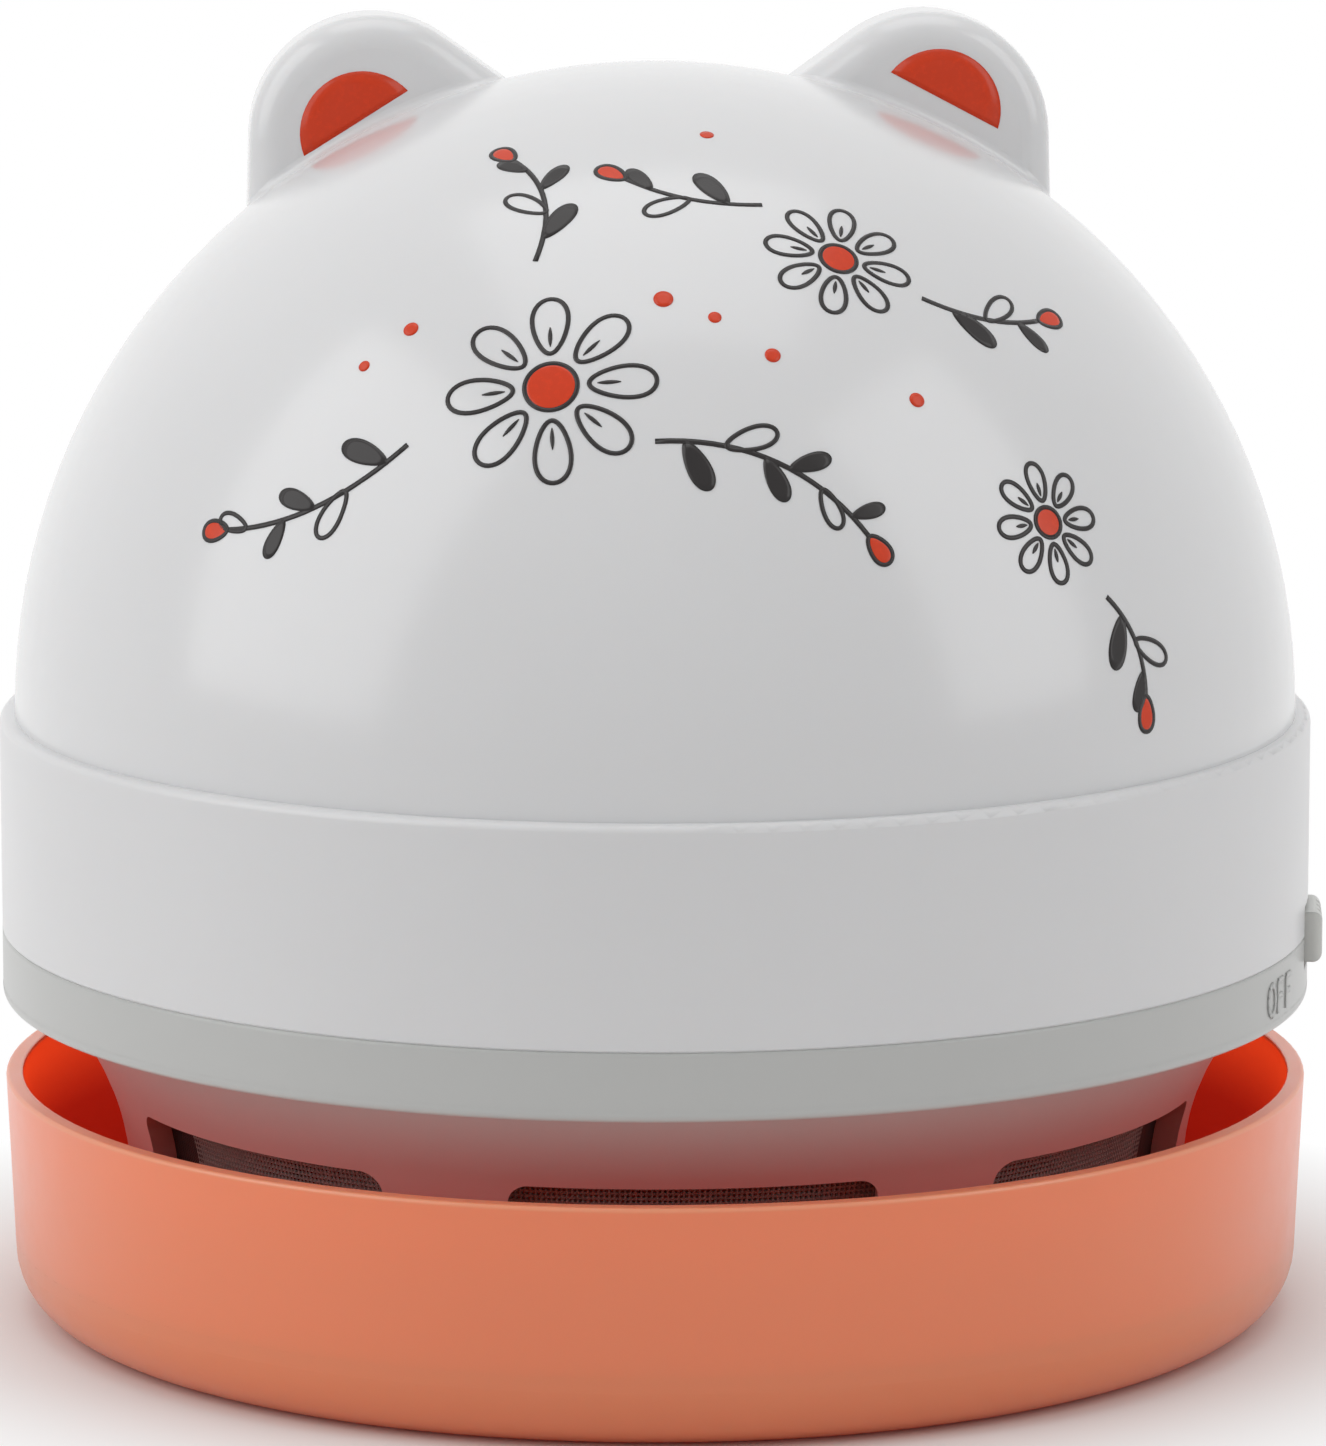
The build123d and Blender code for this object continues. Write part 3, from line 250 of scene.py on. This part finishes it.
def metal(name, colour, roughness, brushed=0.0):
    """Bare metal with streaks along its height; brushed is their depth in millimetres."""
    s = material_nodes(name)
    stretch = s.add("Mapping", Vector=s.position(), Scale=(1, 1, 0.04))
    streaks = s.noise(2600, 3, 0.6, stretch)
    tone = s.mix(streaks, shade(colour, 0.9), colour)
    rough = s.remap(s.noise(300, 4), 0.3, 0.7, roughness * 0.8, roughness * 1.25)
    inputs = {"Base_Color": tone, "Roughness": rough, "Metallic": 1.0}
    if brushed:
        inputs["Normal"] = s.bump(streaks, 0.5, brushed * MM)
    return s.principled(**inputs)


def woven_mesh():
    """Fine dark weave, threads round and up the sleeve with open holes between, and two black bands, one
    either side of the front.
    """
    s = material_nodes("mesh_dark")
    x, y, z = s.axes()
    sleeve_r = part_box("filter_mesh")[1].x
    turn = math.tau / THREAD_PITCH
    across = s.math("SINE", s.math("MULTIPLY", s.math("ARCTAN2", y, x), turn * sleeve_r))
    along = s.math("SINE", s.math("MULTIPLY", z, turn))
    threads = s.math("MAXIMUM", across, along)
    cover = s.remap(threads, 0.0, 0.35, 0.0, 1.0)
    azimuth = s.math("ABSOLUTE", s.math("ARCTAN2", x, s.math("MULTIPLY", y, -1.0)))
    # Black bands, opaque over the weave, at the same angle either side of the front.
    seam = s.math("COMPARE", azimuth, MESH_BAND_ANGLE, MESH_BAND_HALF)
    tone = s.mix(s.noise(900, 2), srgb(108, 124, 122), srgb(138, 154, 152))
    body = s.add(
        "BsdfPrincipled", Base_Color=s.mix(seam, tone, srgb(22, 20, 20)), Roughness=0.55,
        Normal=s.bump(s.math("MULTIPLY", across, along), 0.7, 0.05 * MM),
    )
    clear = s.add("BsdfTransparent")
    return s.surface(s.add("MixShader", i0=s.math("MAXIMUM", cover, seam), i1=clear, i2=body))


def printed(name, colour, speckle):
    """Pad-printed ink with faint speckles where it is thin."""
    s = material_nodes(name)
    grain = s.noise(2400, 3, 0.7)
    tone = s.mix(s.remap(grain, 0.5, 0.75, 0.0, speckle), colour, shade(colour, 1.6))
    rough = s.remap(s.noise(500, 3), 0.3, 0.7, 0.16, 0.26)
    return s.principled(Base_Color=tone, Roughness=rough, IOR=1.38)


def cell_jacket():
    """Plain dark sleeve with a lighter band at the plus end and bare steel ends."""
    s = material_nodes("cell_jacket")
    x, y, _ = s.axes()
    side = s.math("SIGN", y)
    toward_plus = s.math("MULTIPLY", s.math("MULTIPLY", x, side), -1.0)
    band = s.math("GREATER_THAN", toward_plus, CELL_BAND)
    from_middle = s.math("ABSOLUTE", s.math("ADD", toward_plus, -SLEEVE_SHIFT))
    steel = s.math("GREATER_THAN", from_middle, SLEEVE_HALF)
    sleeve = s.mix(band, srgb(58, 70, 84), srgb(206, 150, 60))
    tone = s.mix(steel, sleeve, srgb(190, 190, 188))
    rough = s.remap(s.noise(500, 3), 0.3, 0.7, 0.22, 0.34)
    return s.principled(Base_Color=tone, Roughness=rough, Metallic=s.remap(steel, 0.0, 1.0, 0.25, 1.0))


def wire_sleeve():
    """Red sleeves, and a black one on the lead round the back."""
    s = material_nodes("wire_red")
    x, y, _ = s.axes()
    back = s.math("MAXIMUM", s.math("GREATER_THAN", y, BACK_LEAD_Y), s.math("LESS_THAN", x, 0.0))
    tone = s.mix(back, srgb(170, 34, 30), srgb(36, 36, 38))
    rough = s.remap(s.noise(400, 3), 0.3, 0.7, 0.38, 0.5)
    return s.principled(Base_Color=tone, Roughness=rough, Normal=s.bump(s.noise(1500, 2), 0.4, 0.02 * MM))


def winding():
    """Copper wire wound round the poles."""
    s = material_nodes("copper")
    along = {"bands_direction": "Z"}
    rows = s.add("TexWave", settings=along, Vector=s.position(), Scale=900.0, Distortion=0.4)
    tone = s.mix(rows, srgb(120, 62, 34), srgb(205, 122, 74))
    return s.principled(Base_Color=tone, Roughness=0.35, Metallic=0.8, Normal=s.bump(rows, 0.6, 0.06 * MM))


def floor_material():
    """Pale floor that holds the shadow near the object, backdrop white further out, clear from beneath."""
    s = material_nodes("pale_floor")
    away = s.add("VectorMath", out="Value", settings={"operation": "LENGTH"}, Vector=s.position())
    far = s.remap(away, *FLOOR_FADE, 0.0, 1.0)
    seen = s.math("MULTIPLY", far, s.sees_backdrop())
    tone = s.mix(s.noise(20, 3), (0.8, 0.8, 0.8), (0.83, 0.83, 0.83))
    near = s.add("BsdfDiffuse", Color=tone)
    white = s.add("Emission", Color=(1, 1, 1), Strength=1.0)
    top = s.add("MixShader", i0=seen, i1=near, i2=white)
    beneath = s.add("NewGeometry", out="Backfacing")
    return s.surface(s.add("MixShader", i0=beneath, i1=top, i2=s.add("BsdfTransparent")))


def make_materials():
    """One material for each slot of the record, and the inks of the prints."""
    return {
        "cup_orange": cup_plastic(),
        "dome_white": plastic(
            "dome_white", srgb(226, 226, 227), 0.22, coat=0.4, coat_roughness=0.13, wave=0.012, scatter=0.1,
        ),
        "band_white": plastic("band_white", srgb(227, 227, 228), 0.3, wave=0.01, scatter=0.1),
        "ring_gray": plastic("ring_gray", srgb(196, 197, 195), 0.3, wave=0.01, soften=0.3),
        # Painted shade and a painted pink bounce from the cup: the cage is white plastic, and its colour here
        # is darker and pinker than that plastic.
        "cage_white": plastic("cage_white", srgb(197, 181, 178), 0.34),
        "mesh_dark": woven_mesh(),
        "bristle": plastic("bristle", srgb(40, 40, 42), 0.45, grain=0.02),
        "tray_white": plastic("tray_white", srgb(208, 208, 205), 0.45, wave=0.02, grain=0.01),
        "impeller_gray": plastic("impeller_gray", srgb(120, 122, 126), 0.4, wave=0.02, grain=0.006),
        "motor_steel": metal("motor_steel", srgb(196, 197, 199), 0.3, brushed=0.004),
        "motor_cap": plastic("motor_cap", srgb(226, 222, 210), 0.45, grain=0.006),
        "magnet": plastic("magnet", srgb(70, 70, 74), 0.6, grain=0.02),
        "copper": winding(),
        "bronze": metal("bronze", srgb(196, 160, 98), 0.35),
        "shaft_steel": metal("shaft_steel", srgb(180, 180, 182), 0.18),
        "cell_jacket": cell_jacket(),
        "contact_steel": metal("contact_steel", srgb(205, 203, 198), 0.22, brushed=0.003),
        "switch_black": plastic("switch_black", srgb(34, 34, 35), 0.4, grain=0.006),
        "knob_gray": plastic("knob_gray", srgb(206, 207, 203), 0.36, soften=0.2),
        "screw_steel": metal("screw_steel", srgb(176, 176, 178), 0.3),
        "wire_red": wire_sleeve(),
        "ink_black": printed("ink_black", srgb(38, 34, 34), speckle=0.12),
        "ink_orange": printed("ink_orange", srgb(216, 57, 6), speckle=0.2),
    }


# ---- mesh helpers ----------------------------------------------------------------------------------
def new_piece(name, vertices, faces, material, body, smooth=True):
    """A mesh object that rides on a CAD body."""
    mesh = bpy.data.meshes.new(name)
    mesh.from_pydata([tuple(v) for v in vertices], [], faces)
    mesh.validate()
    mesh.polygons.foreach_set("use_smooth", [smooth] * len(mesh.polygons))
    mesh.materials.append(material)
    piece = bpy.data.objects.new(name, mesh)
    bpy.context.scene.collection.objects.link(piece)
    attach(piece, body)
    return piece


class Sheet:
    """Vertices and faces of thin printed shapes, each drawn flat and laid on a surface."""

    def __init__(self, lay):
        self.lay = lay
        self.vertices, self.faces = [], []

    def point(self, u, v):
        self.vertices.append(self.lay(u, v))
        return len(self.vertices) - 1

    def patch(self, outline, heart=(0, 0), rings=6):
        """A filled outline, meshed in rings that grow from its heart."""
        count = len(outline)
        middle = self.point(*heart)
        before = None
        for ring in range(1, rings + 1):
            grown = ring / rings
            now = [
                self.point(heart[0] + (u - heart[0]) * grown, heart[1] + (v - heart[1]) * grown)
                for u, v in outline
            ]
            for a in range(count):
                b = (a + 1) % count
                if before is None:
                    self.faces.append((middle, now[a], now[b]))
                else:
                    self.faces.append((before[a], now[a], now[b], before[b]))
            before = now

    def ribbon(self, path, width, closed=False, taper=0.0):
        """A line of the given width along a path; taper is the share of the width lost towards its ends."""
        count = len(path)
        rows = []
        for number, (u, v) in enumerate(path):
            after = path[(number + 1) % count] if closed or number < count - 1 else path[number]
            prior = path[number - 1] if closed or number else path[number]
            du, dv = after[0] - prior[0], after[1] - prior[1]
            length = math.hypot(du, dv) or 1.0
            share = abs(2 * number / (count - 1) - 1) if not closed else 0.0
            half = width / 2 * (1 - taper * share ** 2)
            out_u, out_v = -dv / length * half, du / length * half
            rows.append([self.point(u + out_u * side, v + out_v * side) for side in (-1, 0, 1)])
        for number in range(count if closed else count - 1):
            here, there = rows[number], rows[(number + 1) % count]
            for side in range(2):
                self.faces.append((here[side], there[side], there[side + 1], here[side + 1]))


def circle(radius, count=48):
    angles = [math.tau * number / count for number in range(count)]
    return [(radius * math.cos(angle), radius * math.sin(angle)) for angle in angles]


def bow(length, sag, count=18):
    """A curve from the origin along u that bulges by sag half way."""
    shares = [number / count for number in range(count + 1)]
    return [(length * share, sag * 4 * share * (1 - share)) for share in shares]


def on_dome(azimuth, elevation, tilt=0.0):
    """Lays flat millimetres on the dome round a point given in degrees from the face and over the seam."""
    a, e, t = (math.radians(value) for value in (azimuth, elevation, tilt))
    out = Vector((math.sin(a) * math.cos(e), -math.cos(a) * math.cos(e), math.sin(e)))
    right = Vector((math.cos(a), math.sin(a), 0))
    up = out.cross(right)

    def lay(u, v):
        flat_u, flat_v = u * math.cos(t) - v * math.sin(t), u * math.sin(t) + v * math.cos(t)
        flat = out * DOME_R + right * (flat_u * MM) + up * (flat_v * MM)
        return DOME_CENTRE + flat.normalized() * (DOME_R + PRINT_LIFT)
    return lay


def joined(name, sheets, material, body, rise=0.0, smooth=True):
    """One piece from several sheets. A print sinks a little into its surface, or stands out by rise."""
    vertices, faces = [], []
    for sheet in sheets:
        base = len(vertices)
        vertices += sheet.vertices
        faces += [tuple(base + corner for corner in face) for face in sheet.faces]
    piece = new_piece(name, vertices, faces, material, body, smooth)
    upright(piece)
    thick = piece.modifiers.new("thickness", "SOLIDIFY")
    thick.thickness = 2 * PRINT_LIFT + rise
    thick.offset = 1 if rise else -1


FRONT_NORMAL_Y = -0.9                  # a face whose normal is below this looks forwards, like the ears'


def upright(piece):
    """Turns a print's faces away from the dome's middle, apart from those that look forwards."""
    mesh = bmesh.new()
    mesh.from_mesh(piece.data)
    for face in mesh.faces:
        inwards = face.normal.dot(face.calc_center_median() - DOME_CENTRE) < 0
        if inwards and face.normal.y > FRONT_NORMAL_Y:
            face.normal_flip()
    mesh.to_mesh(piece.data)
    mesh.free()


# ---- prints ----------------------------------------------------------------------------------------
LINE = 0.3                             # printed line, in millimetres
STEM_LINE, VEIN_LINE, VEIN_TAPER = LINE * 1.15, LINE * 0.9, 0.8
PETALS = 8
CORE_SHARE, PETAL_SHARE = 0.25, 0.36   # radius of a blossom's heart and start of its petals, of its radius
PETAL_HALF = 0.21                      # half width of a petal, of the blossom's radius
VEIN_START, VEIN_STEP, VEIN_POINTS = 0.12, 0.07, 6   # along a petal, of its length
TEAR_FULL, TEAR_SWELL = 0.8, 0.2       # fullness of a teardrop and how much it gains towards its far end
LEAF_PITCH, LEAF_L, LEAF_HALF, LEAF_TURN = 2.6, 3.6, 0.95, 42   # stem per leaf, size, angle off the stem
LEAF_SHRINK = 0.35                     # loss of size over all the leaves of a sprig
LEAF_LEAD, LEAF_SPARE = 0.7, 0.4       # stem before the first leaf and spare at the tip, in leaf pitches
BUD_L, BUD_HALF, BUD_HEART = 2.3, 0.85, 1.2

# Places on the dome, in degrees off the front and over the seam. Then, in degrees and millimetres, come a
# blossom's turn and radius, a sprig's turn, length and bulge, or a dot's radius.
BLOSSOMS = ((-15, 37, 8, 6.6), (21, 50, 20, 4.7), (35, 23, 0, 3.9))
SPRIGS = (
    (-29, 31, 205, 14.0, 1.6), (-20, 50, 112, 11.0, -1.4), (-4, 32, -22, 15.0, 1.8),
    (13, 57, 152, 9.0, 1.1), (30, 45, -12, 9.0, -1.0), (40, 16, -70, 7.0, 0.8),
)
DOTS = (
    (-3, 46, 0.62), (3, 44, 0.42), (9, 40, 0.5), (24, 35, 0.5),
    (-33, 42, 0.5), (-37, 38, 0.38), (8, 68, 0.45),
)


def teardrop(length, half_width, start=0.0, count=40):
    """A petal or leaf along u, rounder towards its far end."""
    points = []
    for number in range(count):
        angle = math.tau * number / count
        swell = TEAR_FULL - TEAR_SWELL * math.cos(angle)
        points.append((start + length * (1 - math.cos(angle)) / 2, half_width * swell * math.sin(angle)))
    return points


def turned(points, angle, origin=(0, 0)):
    """Flat points, turned by an angle in degrees and moved to an origin."""
    c, s = math.cos(math.radians(angle)), math.sin(math.radians(angle))
    return [(origin[0] + u * c - v * s, origin[1] + u * s + v * c) for u, v in points]


def blossom(black, orange, azimuth, elevation, tilt, radius):
    """A daisy: outlined petals, each with a short vein, round an orange heart."""
    lines, fill = Sheet(on_dome(azimuth, elevation, tilt)), Sheet(on_dome(azimuth, elevation, tilt))
    start, length = radius * PETAL_SHARE, radius * (1 - PETAL_SHARE)
    for number in range(PETALS):
        angle = 360 / PETALS * number
        lines.ribbon(turned(teardrop(length, radius * PETAL_HALF, start), angle), LINE, closed=True)
        vein = [(start + length * (VEIN_START + VEIN_STEP * step), 0) for step in range(VEIN_POINTS)]
        lines.ribbon(turned(vein, angle), VEIN_LINE, taper=VEIN_TAPER)
    fill.patch(circle(radius * CORE_SHARE))
    lines.ribbon(circle(radius * CORE_SHARE), LINE, closed=True)
    black.append(lines)
    orange.append(fill)


def sprig(black, orange, azimuth, elevation, tilt, length, sag):
    """A bent stem with leaves on alternate sides, every third one open, and a bud at its tip."""
    lines, fill = Sheet(on_dome(azimuth, elevation, tilt)), Sheet(on_dome(azimuth, elevation, tilt))
    stem = bow(length, sag)
    lines.ribbon(stem, STEM_LINE)
    leaves = max(2, round(length / LEAF_PITCH))
    for number in range(leaves):
        place = stem[round((number + LEAF_LEAD) / (leaves + LEAF_SPARE) * (len(stem) - 1))]
        side = 1 if number % 2 else -1
        size = 1.0 - LEAF_SHRINK * number / leaves
        leaf = turned(teardrop(LEAF_L * size, LEAF_HALF * size), LEAF_TURN * side, place)
        if number % 3 == 1:
            lines.ribbon(leaf, LINE, closed=True)
        else:
            heart = turned([(LEAF_L / 2 * size, 0)], LEAF_TURN * side, place)[0]
            lines.patch(leaf, heart=heart, rings=3)
    (before_u, before_v), (tip_u, tip_v) = stem[-2], stem[-1]
    heading = math.degrees(math.atan2(tip_v - before_v, tip_u - before_u))
    bud = turned(teardrop(BUD_L, BUD_HALF), heading, (tip_u, tip_v))
    fill.patch(bud, heart=turned([(BUD_HEART, 0)], heading, (tip_u, tip_v))[0], rings=3)
    lines.ribbon(bud, LINE, closed=True)
    black.append(lines)
    orange.append(fill)


def flower_prints(materials):
    """Line-drawn blossoms and sprigs with orange hearts and buds, scattered over the dome's front."""
    black, orange = [], []
    for place in BLOSSOMS:
        blossom(black, orange, *place)
    for place in SPRIGS:
        sprig(black, orange, *place)
    for azimuth, elevation, radius in DOTS:
        dot = Sheet(on_dome(azimuth, elevation))
        dot.patch(circle(radius, count=24), rings=2)
        orange.append(dot)
    joined("flower_print_black", black, materials["ink_black"], "cover")
    joined("flower_print_orange", orange, materials["ink_orange"], "cover")


LETTERS = {                            # strokes on a grid one unit high
    "O": [[(0.3, 0), (0.08, 0.14), (0, 0.36), (0, 0.64), (0.08, 0.86), (0.3, 1),
           (0.52, 0.86), (0.6, 0.64), (0.6, 0.36), (0.52, 0.14), (0.3, 0)]],
    "F": [[(0, 0), (0, 1), (0.55, 1)], [(0, 0.52), (0.45, 0.52)]],
    "N": [[(0, 0), (0, 1), (0.6, 0), (0.6, 1)]],
}
LETTER_H, LETTER_PITCH, LETTER_STROKE, LETTER_RISE = 2.1, 1.85, 0.36, 0.045   # in millimetres
SWITCH_WORDS = (("OFF", -28.0), ("ON", 11.0))   # word and where it begins, in degrees off +X


def on_ring(azimuth, height):
    """Lays flat millimetres on the gray ring, from an azimuth off +X and a height."""
    def lay(u, v):
        angle = math.radians(azimuth) + u * MM / BODY_R
        return Vector((BODY_R * math.cos(angle), BODY_R * math.sin(angle), height + v * MM))
    return lay


def switch_words(materials):
    """Raised OFF and ON on either side of the switch."""
    base = (RING_LOW_Z + SPLIT_Z - LETTER_H * MM) / 2
    sheets = []
    for word, azimuth in SWITCH_WORDS:
        for number, letter in enumerate(word):
            sheet = Sheet(on_ring(azimuth, base))
            for stroke in LETTERS[letter]:
                path = [(number * LETTER_PITCH + u * LETTER_H, v * LETTER_H) for u, v in stroke]
                for begin, end in zip(path, path[1:]):
                    sheet.ribbon([begin, end], LETTER_STROKE)
            sheets.append(sheet)
    gray = materials["ring_gray"]
    joined("switch_words", sheets, gray, "housing", LETTER_RISE * MM, smooth=False)


# Each ear's side, lean in degrees, centre's x and z, and the rise of the patch over it, in millimetres.
EAR_PATCHES = ((-1, 32, 18.5, 76.6, 1.6), (1, 28, 17.9, 76.8, 2.7))
PATCH_HALF, PATCH_SAG = 4.0, 3.3       # half the straight base and height of a patch, in millimetres
BOW_STEPS, BASE_STEPS = 24, 12


def on_ear(side, lean, centre_x, centre_z, rise):
    """Lays flat millimetres on the front of an ear."""
    turn = math.radians(lean * side)

    def lay(u, v):
        v += rise
        x = side * centre_x + u * math.cos(turn) + v * math.sin(turn)
        z = centre_z - u * math.sin(turn) + v * math.cos(turn)
        return Vector((x * MM, EAR_FACE_Y - PRINT_LIFT, z * MM))
    return lay


def ear_patches(materials):
    """Discs cut off by a straight base, printed on the ears' flat fronts."""
    radius = (PATCH_HALF ** 2 + PATCH_SAG ** 2) / (2 * PATCH_SAG)
    span = math.asin(PATCH_HALF / radius)
    outline = []
    for step in range(BOW_STEPS + 1):
        angle = span - 2 * span * step / BOW_STEPS
        outline.append((radius * math.sin(angle), radius * math.cos(angle) - radius + PATCH_SAG))
    outline += [(-PATCH_HALF + 2 * PATCH_HALF * step / BASE_STEPS, 0) for step in range(1, BASE_STEPS)]
    sheets = []
    for ear in EAR_PATCHES:
        sheet = Sheet(on_ear(*ear))
        sheet.patch(outline, heart=(0, PATCH_SAG / 3), rings=3)
        sheets.append(sheet)
    joined("ear_patches", sheets, materials["ink_orange"], "cover")


# ---- ring edge -------------------------------------------------------------------------------------
RING_EDGE_R = 0.5 * MM                 # rounding of the gray ring's lower edge
EDGE_SKIN = 0.004 * MM                 # distance of the smooth skin from the corners of the CAD's mesh
EDGE_FLAT = 0.25 * MM                  # straight run of the skin beyond either end of the rounding
EDGE_STEPS, TURN_STEPS = 12, 360       # pieces over the rounding and round the ring


def ring_edge(materials):
    """A smooth skin on the gray ring's rounded lower edge, where the CAD's mesh is coarse."""
    middle_r, middle_z = BODY_R - RING_EDGE_R, RING_LOW_Z + RING_EDGE_R
    outer = RING_EDGE_R + EDGE_SKIN
    profile = [(middle_r - EDGE_FLAT, middle_z - outer)]
    for step in range(EDGE_STEPS + 1):
        angle = math.pi / 2 * step / EDGE_STEPS
        profile.append((middle_r + outer * math.sin(angle), middle_z - outer * math.cos(angle)))
    profile.append((middle_r + outer, middle_z + EDGE_FLAT))
    count = len(profile)
    vertices, faces = [], []
    for step in range(TURN_STEPS):
        turn = math.tau * step / TURN_STEPS
        vertices += [(r * math.cos(turn), r * math.sin(turn), z) for r, z in profile]
        here, there = step * count, (step + 1) % TURN_STEPS * count
        faces += [(here + n, there + n, there + n + 1, here + n + 1) for n in range(count - 1)]
    new_piece("ring_edge", vertices, faces, materials["ring_gray"], "housing")


# ---- carried-over CAD nodes ------------------------------------------------------------------------
def dress_nodes(materials):
    """Gives each CAD node its procedural material."""
    slots = {part["node"]: part["material_slot"] for part in frame["record"]["subparts"]}
    for name, node in NODES.items():
        node.data.materials.clear()
        node.data.materials.append(materials[slots[name]])


# ---- stage and light -------------------------------------------------------------------------------
FLOOR_HALF = 4.0                       # in metres
AIM_Z = 45 * MM                        # height at which the soft boxes point
ROOM_LIGHT, BACK_LIGHT, TOP_LIGHT = 0.19, 0.3, 0.32
BACK_EDGE, TOP_EDGE = (0.1, 0.6), (0.2, 1.0)   # share of +Y and of +Z where that light begins and is full


def make_camera():
    """The camera that was fitted to the photograph; the pan brings the object's axis to its column."""
    data = bpy.data.cameras.new("camera")
    data.sensor_width = SENSOR_MM
    data.lens = FOCAL_PX / PHOTO_H * SENSOR_MM
    data.clip_start, data.clip_end = CLIP_NEAR, CLIP_FAR
    camera = bpy.data.objects.new("camera", data)
    bpy.context.scene.collection.objects.link(camera)
    azimuth, pitch = math.radians(CAMERA_AZIMUTH), math.radians(CAMERA_PITCH)
    camera.location = (
        CAMERA_DISTANCE * math.sin(azimuth), -CAMERA_DISTANCE * math.cos(azimuth), CAMERA_HEIGHT,
    )
    pan = math.atan((PHOTO_W / 2 - AXIS_PX) / FOCAL_PX)
    camera.rotation_euler = (math.pi / 2 - pitch, 0, azimuth - pan)
    bpy.context.scene.camera = camera


def make_floor():
    mesh = bmesh.new()
    bmesh.ops.create_grid(mesh, x_segments=4, y_segments=4, size=FLOOR_HALF)
    data = bpy.data.meshes.new("floor")
    mesh.to_mesh(data)
    mesh.free()
    data.materials.append(floor_material())
    floor = bpy.data.objects.new("floor", data)
    bpy.context.scene.collection.objects.link(floor)


def softbox(name, place, size, power):
    """A rectangular lamp that faces the middle of the object."""
    data = bpy.data.lights.new(name, "AREA")
    data.shape = "RECTANGLE"
    data.size, data.size_y = size
    data.energy = power
    lamp = bpy.data.objects.new(name, data)
    bpy.context.scene.collection.objects.link(lamp)
    lamp.location = place
    aim = Vector((0, 0, AIM_Z)) - Vector(place)
    lamp.rotation_euler = aim.to_track_quat("-Z", "Y").to_euler()


SOFTBOXES = (                          # name, place and size in metres, power in watts
    ("left_box", (-0.95, -0.28, 0.6), (0.95, 1.15), 5.4),
    ("right_box", (0.84, -0.42, 0.56), (0.6, 1.05), 2.9),
    ("top_box", (0.0, 0.1, 1.1), (0.8, 0.8), 2.1),
)


def make_light():
    """A white room that is lit more from above and behind, with a soft box at either side and one above."""
    world = bpy.data.worlds.new("white_room")
    bpy.context.scene.world = world
    w = Nodes(world, "OutputWorld")
    _, back, up = w.parts(w.add("TexCoord", out="Generated"))
    strength = ROOM_LIGHT
    for value, edge, power in ((back, BACK_EDGE, BACK_LIGHT), (up, TOP_EDGE, TOP_LIGHT)):
        soft = {"interpolation_type": "SMOOTHSTEP"}
        part = w.add("MapRange", settings=soft, i0=value, i1=edge[0], i2=edge[1], i3=0.0, i4=power)
        strength = w.math("ADD", strength, part)
    room = w.add("Background", Color=(1, 1, 1), Strength=strength)
    seen = w.add("Background", Color=(1, 1, 1), Strength=1.0)
    w.surface(w.add("MixShader", i0=w.sees_backdrop(), i1=room, i2=seen))
    for box in SOFTBOXES:
        softbox(*box)


# ---- build -----------------------------------------------------------------------------------------
bpy.context.scene.view_settings.view_transform = "Standard"
make_camera()
make_floor()
make_light()
MATERIALS = make_materials()
dress_nodes(MATERIALS)
flower_prints(MATERIALS)
ear_patches(MATERIALS)
switch_words(MATERIALS)
ring_edge(MATERIALS)
